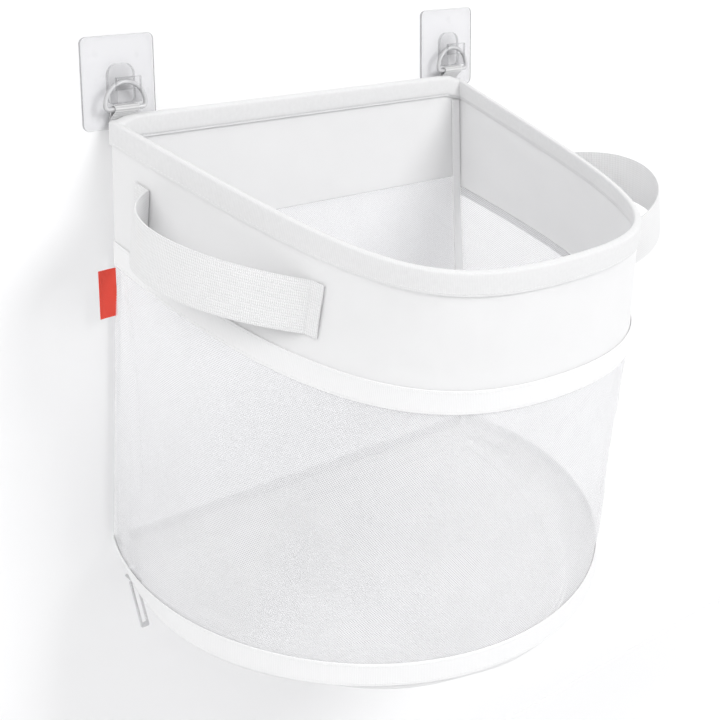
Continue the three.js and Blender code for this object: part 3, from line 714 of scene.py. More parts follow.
@functools.lru_cache(maxsize=None)
def finish(kind):
    """The finish of that name, made once and shared."""
    looks, rib, handle_rib = settings().finishes, settings().tape.rib_pitch, settings().handle.rib_pitch
    makers = {
        "cloth": lambda: woven_cloth("Smooth white cloth", looks.cloth),
        "tape": lambda: ribbed_tape(
            "Ribbed binding tape", looks.tape, rib, depth=0.00008, mottle=0.6, grain=330
        ),
        "seam": lambda: ribbed_tape("Ribbed seam tape", looks.webbing, rib, depth=0.00008, groove_shade=0.95),
        "loop": lambda: ribbed_tape("Ribbed loop webbing", looks.tape, 0.0017, depth=0.0004, groove_shade=0.68),
        "handle": lambda: ribbed_tape(
            "Handle webbing", looks.webbing, handle_rib,
            depth=0.00026, groove_shade=0.84, thread_pitch=0.0017, thread_share=0.45,
        ),
        "zip_tape": lambda: ribbed_tape("Zip tape", looks.webbing, 0.0008, depth=0.0001, groove_shade=0.9),
        "net": lambda: sheer_net("Sheer net", looks.net, looks.net_cover),
        "label": lambda: woven_label("Bare red label", looks.label),
        "thread": lambda: sewing_thread("Sewing thread", looks.thread),
        "plate": lambda: clear_plastic("Clear plate plastic", looks.plastic, cover=0.06, edge_cover=0.85),
        "clear": lambda: clear_plastic("Clear moulded plastic", looks.plastic, cover=0.05, edge_cover=0.42),
        "sheet": lambda: clear_plastic("Milky adhesive", looks.adhesive, cover=0.9, edge_cover=0.9, haze=0.3),
        "ring": lambda: clear_plastic("Pale ring plastic", looks.ring, cover=0.6, edge_cover=0.85, haze=0.18),
        "stiffener": lambda: moulded_plastic("Stiffener plastic", looks.zip, roughness=0.5),
        "zip": lambda: moulded_plastic("Zip plastic", looks.zip),
        "nickel": lambda: plated_nickel("Plated nickel", looks.nickel),
    }
    return makers[kind]()


def refinish(node, kind):
    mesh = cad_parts[node].data
    mesh.materials.clear()
    mesh.materials.append(finish(kind))


# Repeated pieces, laid along a line by Geometry Nodes

# Segments and rings of a bead, and the share of the thread's thickness that its middle stands off the cloth
STITCH_BEAD, TOOTH_BEAD = (6, 4), (8, 6)
STITCH_RISE = 0.2

# What a repeat is told: the distance of its beads, and their size along, across and off the line
BEAD_SIZES = ("Pitch", "Along", "Across", "Height")


def wire(tree, links):
    """Joins nodes, each link as a node and its output, and a node and its input."""
    for source, output, target, socket in links:
        tree.links.new(source.outputs[output], target.inputs[socket])


@functools.lru_cache(maxsize=None)
def repeat_tree(name, tooth=False):
    """A node group that sets a bead at each step of a line: a stitch, or a tooth that aims at the centre."""
    tree = bpy.data.node_groups.new(name, "GeometryNodeTree")
    face = tree.interface
    face.new_socket("Line", in_out="INPUT", socket_type="NodeSocketGeometry")
    for socket in BEAD_SIZES:
        face.new_socket(socket, in_out="INPUT", socket_type="NodeSocketFloat")
    face.new_socket("Finish", in_out="INPUT", socket_type="NodeSocketMaterial")
    face.new_socket("Pieces", in_out="OUTPUT", socket_type="NodeSocketGeometry")
    nodes = tree.nodes
    given, result = nodes.new("NodeGroupInput"), nodes.new("NodeGroupOutput")
    size = nodes.new("ShaderNodeCombineXYZ")
    kinds = (
        "MeshToCurve", "CurveToPoints", "MeshUVSphere", "Transform", "InstanceOnPoints", "RealizeInstances",
        "SetShadeSmooth", "SetMaterial",
    )
    made = [nodes.new(f"GeometryNode{kind}") for kind in kinds]
    curve, points, bead, stretch, place, real, soft, paint = made
    points.mode = "LENGTH"
    segments, rings = TOOTH_BEAD if tooth else STITCH_BEAD
    for socket, value in (("Segments", segments), ("Rings", rings), ("Radius", 0.5)):
        bead.inputs[socket].default_value = value
    deep, long = ("Along", "Height") if tooth else ("Height", "Along")
    links = [
        (given, "Line", curve, "Mesh"),
        (curve, "Curve", points, "Curve"),
        (given, "Pitch", points, "Length"),
        (given, "Across", size, "X"),
        (given, deep, size, "Y"),
        (given, long, size, "Z"),
        (bead, "Mesh", stretch, "Geometry"),
        (size, "Vector", stretch, "Scale"),
        (points, "Points", place, "Points"),
        (stretch, "Geometry", place, "Instance"),
        (place, "Instances", real, "Geometry"),
        (real, "Geometry", soft, "Geometry"),
        (soft, "Geometry", paint, "Geometry"),
        (given, "Finish", paint, "Material"),
        (paint, "Geometry", result, "Pieces"),
    ]
    if tooth:
        aim = nodes.new("FunctionNodeAlignRotationToVector")
        aim.axis, aim.pivot_axis = "X", "Z"
        links.append((nodes.new("GeometryNodeInputPosition"), "Position", aim, "Vector"))
        links.append((aim, "Rotation", place, "Rotation"))
    else:
        links.append((points, "Rotation", place, "Rotation"))
    wire(tree, links)
    return tree


def repeated(name, lines, tree, sizes, kind):
    """Runs a repeat tree on lines of points and keeps the result as a plain mesh."""
    points, edges = [], []
    for line in lines:
        first = len(points)
        points += [tuple(p) for p in line]
        edges += [(first + i, first + i + 1) for i in range(len(line) - 1)]
    mesh = bpy.data.meshes.new(name)
    mesh.from_pydata(points, edges, [])
    piece = linked(name, mesh)
    modifier = piece.modifiers.new("Repeat", "NODES")
    modifier.node_group = tree
    values = dict(zip(BEAD_SIZES, sizes), Finish=finish(kind))
    for item in tree.interface.items_tree:
        if item.name in values:
            modifier[item.identifier] = values[item.name]
    made = baked(piece)
    if not made.data.polygons:
        raise RuntimeError(f"{name} came out empty")
    return made


def stitched(name, lines, body="bag"):
    sewing = settings().stitch
    sizes = sewing.pitch, sewing.stitch, sewing.thread, sewing.thread
    piece = repeated(name, lines, repeat_tree("Stitch line"), sizes, "thread")
    return dress(piece, body, "white_webbing", "thread")


def thread_rise():
    """How far the middle of a stitch stands off the cloth."""
    return settings().stitch.thread * STITCH_RISE


# Cloth and net

# Unevenness of each cloth: waves along it, waves down it, and a seed
BAND_WAVES, BAND_FINE_WAVES = (9, 30, 3.1), (26, 60, 8.4)
NET_WAVES, NET_FINE_WAVES = (5, 14, 1.7), (16, 40, 5.2)
REAR_BAND_WAVES, REAR_NET_WAVES = (6, 24, 4.4), (5, 18, 9.3)
EDGE_WAVES, FLAP_WAVES = (7, 0.08, 6.6), (3, 5, 2.2)

# Shares of the finer waves, and of the band's even hollow and the net's whole relief
BAND_FINE, NET_FINE, BAND_HOLLOW, NET_SWING = 0.5, 0.4, 0.8, 1.4
REAR_BAND_RELIEF, REAR_NET_RELIEF = 0.0007, 0.0012

# Where the relief starts and stops: runs beside the seams, then depths, and stations by the corners
BAND_SEAM_RUN, NET_SEAM_RUN = 0.012, 0.03
BAND_CORNER, NET_CORNER = (0.93, 1.0), (0.95, 1.0)
REAR_BAND_DEPTHS, REAR_BAND_CORNER = ((0.02, 0.035), (0.062, 0.075)), (0.86, 0.94)
REAR_NET_DEPTHS, REAR_NET_CORNER = ((0.08, 0.1), (0.25, 0.28)), (0.82, 0.93)

# The net's crease: its stations above and below, its length and width, and where it begins and ends
CREASE_STATIONS, CREASE_LENGTH, CREASE_WIDTH = (-1.0, -0.93), 0.1, 0.011
CREASE_START, CREASE_END = 0.012, (0.09, 0.15)


def wander(along, down, along_waves, down_waves, seed):
    """Soft unevenness between -1 and 1, the same on every run."""
    return noise.noise(Vector((along * along_waves, down * down_waves, seed)))


def fading(rise, fall, corner):
    """Share of a relief by place: none at the seams above and below and at the corners, all of it between."""

    def at(along, depth):
        return smooth(*rise, depth) * (1 - smooth(*fall, depth)) * (1 - smooth(*corner, abs(along)))

    return at


def band_relief():
    bag, tape = settings().bag, settings().tape
    top, bottom = tape.rim_height, bag.band_height - tape.band_tape
    fade = fading((top, top + BAND_SEAM_RUN), (bottom - BAND_SEAM_RUN, bottom), BAND_CORNER)

    def relief(station, depth):
        soft = wander(station, depth, *BAND_WAVES) + BAND_FINE * wander(station, depth, *BAND_FINE_WAVES)
        return -bag.cloth_relief * fade(station, depth) * (BAND_HOLLOW + soft)

    return relief


def net_relief():
    bag = settings().bag
    top, bottom = bag.band_height, bag.net_height
    fade = fading((top, top + NET_SEAM_RUN), (bottom - NET_SEAM_RUN, bottom), NET_CORNER)
    start, end = top, top + CREASE_LENGTH

    def relief(station, depth):
        soft = wander(station, depth, *NET_WAVES) + NET_FINE * wander(station, depth, *NET_FINE_WAVES)
        run = mixed(*CREASE_STATIONS, (depth - start) / (end - start))
        ended = smooth(top + CREASE_END[0], top + CREASE_END[1], depth)
        dent = math.exp(-(((station - run) / CREASE_WIDTH) ** 2)) * (1 - ended)
        begun = smooth(top, top + CREASE_START, depth)
        return fade(station, depth) * bag.net_relief * NET_SWING * soft - dent * bag.crease_depth * begun

    return relief


def rear_relief(height, depths, corner, waves):
    fade = fading(*depths, corner)
    return lambda across, depth: height * fade(across, depth) * wander(across, depth, *waves)


class ORGANIZER_OT_band(bpy.types.Operator):
    """Sew the smooth cloth band round the mouth and across the back"""

    bl_idname = "organizer.band"
    bl_label = "Cloth band"

    def execute(self, context):
        bag, tape = settings().bag, settings().tape
        wall = BagWall()
        top = tape.thickness + tape.gap
        seam = bag.band_height - tape.band_tape / 2
        section = strip_section(0, bag.cloth_thickness, steps(top, seam, BAND_DOWN))
        rings = side_rings(wall, section, BAND_ROUND, relief=band_relief())
        cloth("band_cloth_front", rings, "band_front", "rim_binding_tape")
        depths = steps(top, bag.rear_band_height, REAR_BAND_DOWN)
        relief = rear_relief(REAR_BAND_RELIEF, REAR_BAND_DEPTHS, REAR_BAND_CORNER, REAR_BAND_WAVES)
        rings = rear_rings(wall, depths, bag.cloth_thickness, REAR_BAND_ACROSS, relief, tape.rear_lift)
        cloth("band_cloth_rear", rings, "band_rear", "rim_binding_tape")
        return {"FINISHED"}


class ORGANIZER_OT_net(bpy.types.Operator):
    """Sew the sheer net of the sides, front and back"""

    bl_idname = "organizer.net"
    bl_label = "Sheer net"

    def execute(self, context):
        bag, tape = settings().bag, settings().tape
        wall = BagWall()
        seam = bag.band_height - tape.band_tape / 2 + tape.gap
        end = bag.net_height + tape.bottom_tape / 2
        section = strip_section(0, bag.net_thickness, steps(seam, end, NET_DOWN))
        rings = side_rings(wall, section, NET_ROUND, relief=net_relief())
        cloth("net_front", rings, "mesh_front", "band_cloth_front", "net")
        depths = steps(bag.rear_band_height + tape.gap, end, REAR_NET_DOWN)
        relief = rear_relief(REAR_NET_RELIEF, REAR_NET_DEPTHS, REAR_NET_CORNER, REAR_NET_WAVES)
        rings = rear_rings(wall, depths, bag.net_thickness, REAR_NET_ACROSS, relief)
        cloth("net_rear", rings, "mesh_rear", "band_cloth_rear", "net")
        return {"FINISHED"}


# Shares of the rim tape's height: its lowest level, where it starts to lean back, and the next level above
RIM_LOW, RIM_LEAN, RIM_HIGH = 0.96, 0.76, 0.6
RIM_LEAN_STEPS, RIM_HIGH_STEPS, RIM_TURN = 4, 2, 5

# Stations where the seams stop, and how far the rear seam stays off the corners
SEAM_END, INNER_SEAM_END, REAR_SEAM_MARGIN = 0.995, 0.985, 0.006


def rim_lie(bag, tape, depth):
    """How far the rim tape's inner layer leans back on the cloth below the stiffener."""
    lean = tape.rim_inset - bag.cloth_thickness - tape.gap - tape.thickness
    return lean * smooth(RIM_LEAN, 1, depth / tape.rim_height)


def rim_section(bag, tape):
    """The folded rim tape in section, as inset and depth: down outside, over the top and down inside."""
    outer, inner = -(tape.thickness + tape.gap), tape.rim_inset
    deep, bend, thick = tape.rim_height, tape.rim_round, tape.thickness
    turns = steps(0, math.pi / 2, RIM_TURN)
    leaning = steps(deep * RIM_LOW, deep * RIM_LEAN, RIM_LEAN_STEPS)
    levels = [deep, *leaning, *steps(deep * RIM_HIGH, bend, RIM_HIGH_STEPS)]
    lie = lambda d: rim_lie(bag, tape, d)
    outside = [(outer, d) for d in levels]
    outside += [(outer + bend * (1 - math.cos(a)), bend * (1 - math.sin(a))) for a in turns[1:]]
    outside += [(inner - bend * (1 - math.sin(a)), bend * (1 - math.cos(a))) for a in turns]
    outside += [(inner - lie(d), d) for d in reversed(levels[:-1])]
    small = bend - thick
    inside = [(inner - thick - lie(d), d) for d in levels]
    near, far = inner - thick, outer + thick
    inside += [(near - small * (1 - math.cos(a)), thick + small * (1 - math.sin(a))) for a in turns[1:]]
    inside += [(far + small * (1 - math.sin(a)), thick + small * (1 - math.cos(a))) for a in turns]
    inside += [(far, d) for d in reversed(levels[:-1])]
    return outside + inside


def tape_seams(wall, bag, tape, outer, depths):
    """Lines of the stitches: outside at those depths, and along the rim tape inside."""
    rise, edge = thread_rise(), settings().stitch.edge
    stations = steps(-SEAM_END, SEAM_END, SEAM_ROUND)
    lines = [[wall.point(depth, s, outer - rise) for s in stations] for depth in depths]
    depth = tape.rim_height - edge
    inner = tape.rim_inset + rise - rim_lie(bag, tape, depth)
    stations = steps(-INNER_SEAM_END, INNER_SEAM_END, SEAM_ROUND)
    lines.append([wall.point(depth, s, inner, True) for s in stations])
    width = wall.half_width(depth)
    half = width - REAR_SEAM_MARGIN
    across = steps(-half, half, REAR_SEAM_ACROSS)
    back = -wall.standoff - inner
    lines.append([wall.place(x, back, depth - tape.rear_lift * drawn_up(x / width)) for x in across])
    return lines


class ORGANIZER_OT_tapes(bpy.types.Operator):
    """Sew the rim binding, the seam tapes and the bottom binding"""

    bl_idname = "organizer.tapes"
    bl_label = "Bindings and tapes"

    def execute(self, context):
        bag, tape, edge = settings().bag, settings().tape, settings().stitch.edge
        wall = BagWall()
        outer = -(tape.thickness + tape.gap)
        rings = side_rings(wall, rim_section(bag, tape), RIM_ROUND, closed=True, lift=tape.rear_lift)
        webbing("rim_binding_tape", rings, "rim_binding", "tape", closed=True)
        top = bag.band_height - tape.band_tape
        section = strip_section(outer, -tape.gap, steps(top, bag.band_height, TAPE_DOWN))
        webbing("band_seam_tape", side_rings(wall, section, TAPE_ROUND), "band_lower_tape")
        low = bag.net_height + tape.bottom_tape
        section = strip_section(outer, -tape.gap, steps(bag.net_height, low, TAPE_DOWN))
        rings = side_rings(wall, section, TAPE_ROUND, closed=True)
        webbing("bottom_binding_tape", rings, "bottom_binding", closed=True)
        back = wall.standoff + bag.cloth_thickness + tape.gap
        front, end = back + tape.thickness, bag.net_height + tape.bottom_tape / 2
        for side, label in SIDES:
            rings = []
            for depth in steps(tape.rim_height + tape.gap, end, CORNER_DOWN):
                near = wall.half_width(depth) - tape.corner_margin
                across = steps(near, near - tape.corner_width, CORNER_ACROSS)
                edges = strip_section(back, front, across, round_share=0.25)
                rings.append([wall.place(side * x, -y, depth) for y, x in edges])
            webbing(f"corner_tape_{label}", rings, f"corner_seam_tape_{label}")
        refinish("rim_stiffener", "stiffener")
        depths = tape.rim_height - edge, top + edge, bag.band_height - edge, bag.net_height + edge, low - edge
        stitched("tape_stitches", tape_seams(wall, bag, tape, outer, depths))
        return {"FINISHED"}


# One layer of the label as a share of the solid, half the layers' distance in layers, and the end's curl
LABEL_LAYER, LABEL_SPREAD, LABEL_CURL = 0.42, 0.7, 0.0016


class ORGANIZER_OT_label(bpy.types.Operator):
    """Fold the bare red label into the left seam"""

    bl_idname = "organizer.label"
    bl_label = "Bare label"

    def execute(self, context):
        low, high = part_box("label")
        thick, inner = (high.y - low.y) * LABEL_LAYER, high.x
        reach, middle = high.x - low.x, (low.y + high.y) / 2
        front, back = middle - thick * LABEL_SPREAD, middle + thick * LABEL_SPREAD
        bend = (back - front) / 2
        path = [(inner - x, back) for x in steps(0, reach - bend - thick / 2, LABEL_ALONG)]
        end = path[-1][0]
        turns = steps(0, math.pi, LABEL_UP)[1:]
        path += [(end - bend * math.sin(a), middle + bend * math.cos(a)) for a in turns]
        path += [(x, front) for x in steps(end, inner, LABEL_ALONG)[1:]]
        levels = steps(low.z, high.z, LABEL_UP)
        rings = []
        for (x, y), run in zip(path, directions([Vector(p) for p in path])):
            aside = Vector((run.y, -run.x)) * thick / 2
            curl = -LABEL_CURL * ((inner - x) / reach) ** 2
            rings.append(
                [Vector((x + aside.x, y + aside.y + curl, z)) for z in levels]
                + [Vector((x - aside.x, y - aside.y + curl, z)) for z in reversed(levels)]
            )
        label = sewn("bare_label", rings, "bag", "red_label", "label", "label")
        label.visible_diffuse = False
        return {"FINISHED"}


# Handles

# A strap's thickness at its selvedge, and the selvedge's width, as shares of the strap's own
HANDLE_THIN, HANDLE_SELVEDGE = 0.55, 0.06

# Rings that are sewn down, from each end, and the part of the width that a seam takes
HANDLE_SEAMS = (1, 4, -2, -5)
RUNG_LOW, RUNG_HIGH = 0.06, 0.94


def handle_edge(wall, sewing, bow, side, depth):
    handle, gap = settings().handle, settings().tape.gap
    rear_end, rear_fold, front_fold, front_end = sewing
    rise_share, rise, fall_share, fall, lift = bow
    risen, fallen, landed = Vector((rise_share, rise)), Vector((fall_share, fall)), Vector((1, 0))

    def at(along, out, raised):
        flat = wall.flat_point(depth, side * (1 - along), -(gap + handle.thickness / 2 + out))
        return wall.place(*flat, depth - raised)

    points = [at(a, 0, 0) for a in steps(rear_end, rear_fold, HANDLE_END)[:-1]]
    for t in steps(0, 1, HANDLE_ALONG):
        s = 1 - t
        bend = risen * 3 * s * s * t + fallen * 3 * s * t * t + landed * t**3
        along = mixed(rear_fold, front_fold, bend.x)
        points.append(at(along, bend.y, lift * math.sin(math.pi * bend.x)))
    points += [at(a, 0, 0) for a in steps(front_fold, front_end, HANDLE_END)[1:]]
    return points


def handle_rings(wall, sewing, bow, side):
    handle = settings().handle
    edges, asides = [], []
    for off in (-handle.width / 2, handle.width / 2):
        edge = handle_edge(wall, sewing, bow, side, handle.depth + off)
        runs = directions([p.to_2d() for p in edge])
        edges.append(edge)
        asides.append([Vector((run.y, -run.x, 0)) * handle.thickness / 2 for run in runs])
    rings = []
    for upper, lower, out_upper, out_lower in zip(*edges, *asides):
        ring = []
        for k, sign in there_and_back(0, 1, HANDLE_ACROSS):
            thin = mixed(HANDLE_THIN, 1, smooth(0, HANDLE_SELVEDGE, min(k, 1 - k)))
            ring.append(upper.lerp(lower, k) + out_upper.lerp(out_lower, k) * sign * thin)
        rings.append(ring)
    return rings


def rung(ring, side):
    """A line of thread across the webbing, on its outer face."""
    half = len(ring) // 2
    faces = ring[:half], ring[half:][::-1]
    inner, outer = sorted(faces, key=lambda f: f[half // 2].x * side - f[half // 2].y)
    line = []
    for k in steps(RUNG_LOW, RUNG_HIGH, RUNG_ACROSS):
        at = k * (half - 1)
        first = min(int(at), half - 2)
        a = outer[first].lerp(outer[first + 1], at - first)
        b = inner[first].lerp(inner[first + 1], at - first)
        line.append(a + (a - b).normalized() * thread_rise())
    return line


class ORGANIZER_OT_handles(bpy.types.Operator):
    """Bow the two webbing handles and sew down their ends"""

    bl_idname = "organizer.handles"
    bl_label = "Handles"

    def execute(self, context):
        handle = settings().handle
        wall = BagWall()
        lines = []
        shapes = (handle.left_sewing, handle.left_bow), (handle.right_sewing, handle.right_bow)
        for (side, label), (sewing, bow) in zip(SIDES, shapes):
            rings = handle_rings(wall, tuple(sewing), tuple(bow), side)
            webbing(f"handle_webbing_{label}", rings, f"handle_{label}", "handle")
            lines += [rung(rings[i], side) for i in HANDLE_SEAMS]
        stitched("handle_stitches", lines)
        return {"FINISHED"}


# Hooks, rings and hang loops

# Rounds on the plates' edges, as a share of the hooks' round
PLATE_ROUND = 0.6

# Distance of the loop's two layers in thicknesses, its bends at the shoulders, and where it leaves the bar
LOOP_LAYER, LOOP_BEND, LOOP_BEND_STEPS, LOOP_LEAVE = 1.12, 0.0016, 6, -0.25 * math.pi

# The loop's selvedge as the handle's, the heights of its two seams, and the part of the width that they take
LOOP_THIN, LOOP_SELVEDGE, LOOP_SEAMS, LOOP_SEAM_SHARE = 0.5, 0.2, (0.002, 0.012), 0.86


def tube(name, path, radius, normal):
    """A closed round wire along a flat closed path."""
    turns = [2 * math.pi * k / WIRE_SIDES for k in range(WIRE_SIDES)]
    rings = []
    for i, point in enumerate(path):
        run = (path[(i + 1) % len(path)] - path[i - 1]).normalized()
        aside = run.cross(normal)
        rings.append([point + aside * math.cos(a) * radius + normal * math.sin(a) * radius for a in turns])
    return sweep(name, rings, closed=True)


def ring_path(parts):
    flat = parts.ring_half_width - parts.ring_corner
    bend, rise = parts.ring_corner, parts.ring_rise - parts.ring_corner
    quarter = steps(0, math.pi / 2, RING_BEND)[:-1]
    arch = steps(0, math.pi, RING_ARCH)[:-1]
    path = [(x, 0) for x in steps(-flat, flat, RING_BAR)[:-1]]
    path += [(flat + bend * math.sin(a), bend * (1 - math.cos(a))) for a in quarter]
    path += [(parts.ring_half_width * math.cos(a), bend + rise * math.sin(a)) for a in arch]
    path += [(-flat - bend * math.cos(a), bend * (1 - math.sin(a))) for a in quarter]
    return path


def rounded_path(corners, reach):
    """A line through corners, each cut back by reach and bent round."""
    path = [corners[0]]
    for before, here, after in zip(corners, corners[1:], corners[2:]):
        a = here + (before - here).normalized() * min(reach, (before - here).length / 2)
        b = here + (after - here).normalized() * min(reach, (after - here).length / 2)
        path += [a * (1 - t) ** 2 + here * 2 * t * (1 - t) + b * t * t for t in steps(0, 1, LOOP_BEND_STEPS)]
    return path + [corners[-1]]


def loop_path(wall, parts, tape):
    """Centreline of a hang loop's webbing, as distance from the wall and height."""
    thick = parts.loop_thickness
    back = parts.loop_back + thick * LOOP_LAYER / 2
    front = back + thick * LOOP_LAYER
    bottom = -wall.rim_drop - tape.rim_height - wall.slope * front
    shoulder = -wall.rim_drop - tape.thickness
    bend = parts.wire_radius + tape.gap + thick / 2
    centre = Vector((parts.ring_plane, -parts.bar_drop))
    turns = steps(math.pi, LOOP_LEAVE, LOOP_TURN)
    over = [centre + bend * Vector((math.cos(a), math.sin(a))) for a in turns]
    climb = rounded_path([Vector((back, bottom)), Vector((back, shoulder)), over[0]], LOOP_BEND)
    fall = rounded_path([over[-1], Vector((front, shoulder)), Vector((front, bottom))], LOOP_BEND)
    return climb[:-1] + over + fall[1:]


class ORGANIZER_OT_hooks(bpy.types.Operator):
    """Stick up the clear hooks and hang the rings in them"""

    bl_idname = "organizer.hooks"
    bl_label = "Hooks and rings"

    def execute(self, context):
        parts = settings().hardware
        plate_edge, clear = parts.soft_edge * PLATE_ROUND, ("wall_hooks", "clear_plastic")
        for side, label in SIDES:
            refinish(f"adhesive_sheet_{label}", "sheet")
            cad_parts[f"adhesive_sheet_{label}"].visible_shadow = False
            plate = moulding(f"hook_plate_{label}", f"clear_plate_{label}", plate_edge, *clear, "plate")
            hook = moulding(f"hook_{label}", f"clear_hook_{label}", parts.soft_edge, *clear, "clear")
            plate.visible_shadow = hook.visible_shadow = False
            middle = side * parts.hook_offset
            path = [Vector((middle + x, -parts.ring_plane, z - parts.bar_drop)) for x, z in ring_path(parts)]
            ring = tube(f"hanging_ring_{label}", path, parts.wire_radius, Vector((0, -1, 0)))
            dress(ring, "hanging_rings", "ring_plastic", "ring", f"ring_{label}")
        return {"FINISHED"}


class ORGANIZER_OT_loops(bpy.types.Operator):
    """Fold the webbing hang loops round the rings"""

    bl_idname = "organizer.loops"
    bl_label = "Hang loops"

    def execute(self, context):
        parts, tape = settings().hardware, settings().tape
        path = loop_path(BagWall(), parts, tape)
        half, thick = parts.loop_width / 2, parts.loop_thickness
        seam = half * LOOP_SEAM_SHARE
        lines = []
        for side, label in SIDES:
            middle = side * parts.hook_offset
            rings = []
            for point, run in zip(path, directions(path)):
                aside = Vector((run.y, -run.x)) * thick / 2
                ring = []
                for k, sign in there_and_back(-1, 1, LOOP_ACROSS):
                    thin = mixed(LOOP_THIN, 1, smooth(0, LOOP_SELVEDGE, 1 - abs(k)))
                    at = point + aside * sign * thin
                    ring.append(Vector((middle + k * half, -at.x, at.y)))
                rings.append(ring)
            webbing(f"loop_webbing_{label}", rings, f"hang_loop_{label}", "loop")
            back = path[0].x - thick / 2 - thread_rise()
            for up in LOOP_SEAMS:
                level = path[0].y + up
                lines.append([Vector((middle + x, -back, level)) for x in steps(-seam, seam, LOOP_SEAM)])
        stitched("loop_stitches", lines)
        return {"FINISHED"}


# Base and zip

# The base edge's swell: the curl's last step without it, its height, its unevenness, and where it fades out
SWELL_START, EDGE_SWELL, EDGE_RELIEF, EDGE_CORNER = 2, 0.0016, 0.0022, (0.9, 1)

# The edge's stitches stand this much further off, over the swell
EDGE_SEAM_RISE = 0.0004

# The flap: its first share from the hinge, where its sag fades in and out, and the same for its unevenness
FLAP_ROOT = 0.001
SAG_HINGE, SAG_BORDER = (0, 0.07), (0.55, 0.96)
FLAP_RELIEF, FLAP_HINGE, FLAP_BORDER = 0.0006, (0, 0.03), (0.8, 0.96)

# A tooth's height and the place of its middle, in tooth heights
TOOTH_TALL, TOOTH_MIDDLE = 1.25, 0.62

# Rounds on the pull's edges, in rounds of the slider's
PULL_ROUND = 1.3


class ZipPlane:
    """The underside of the bag. Points of it by radius and angle round the zip's centre, and by level."""

    def __init__(self):
        wall, sizes = BagWall(), settings().zip
        tilt = math.atan(wall.slope)
        self.cos, self.sin = math.cos(tilt), math.sin(tilt)
        self.hinge, self.line = -sizes.hinge_setback, -sizes.centre_setback
        self.middle = Matrix.Translation((0, 0, -wall.rim_drop - sizes.drop)) @ Matrix.Rotation(tilt, 4, "X")
        self.centre = self.middle @ Matrix.Translation((0, self.line, 0))

    def point(self, radius, turn, level):
        return self.centre @ Vector((radius * math.sin(turn), -radius * math.cos(turn), level))

    def end_turn(self, radius, gap=0.0):
        """Half the angle of an arc of that radius, up to the hinge line."""
        return math.pi / 2 + math.asin((self.hinge - self.line - gap) / radius)


def base_line(wall, plane, station, inset, level):
    """The base edge in section at one station: down behind the binding, then curling under to the zip."""
    bag, tape, sizes = settings().bag, settings().tape, settings().zip
    start_depth = bag.net_height + tape.bottom_tape / 2 + tape.gap
    end_depth = bag.net_height + tape.bottom_tape
    top = wall.flat_point(start_depth, station, inset, True)
    start = wall.flat_point(end_depth, station, inset, True)
    middle = wall.flat_point(end_depth, station, 0)
    corner = wall.flat_point(end_depth, 1, 0)
    radius = sizes.radius + sizes.hem_setback
    turn_of = lambda p: math.atan2(p[0], -(p[1] / plane.cos - plane.line))
    turn = turn_of(middle) / turn_of(corner) * plane.end_turn(radius)
    at_wall = abs(station) == 1
    v = plane.hinge + tape.gap if at_wall else plane.line - radius * math.cos(turn)
    border = radius * math.sin(turn), v * plane.cos - level * plane.sin
    depth = sizes.drop - level / plane.cos
    line = [wall.place(*top, start_depth)]
    for a in steps(0, math.pi / 2, CURL_STEPS):
        inwards = 1 - math.cos(a)
        x, y = mixed(start[0], border[0], inwards), mixed(start[1], border[1], inwards)
        line.append(wall.place(x, y, mixed(end_depth, depth, math.sin(a))))
    return line


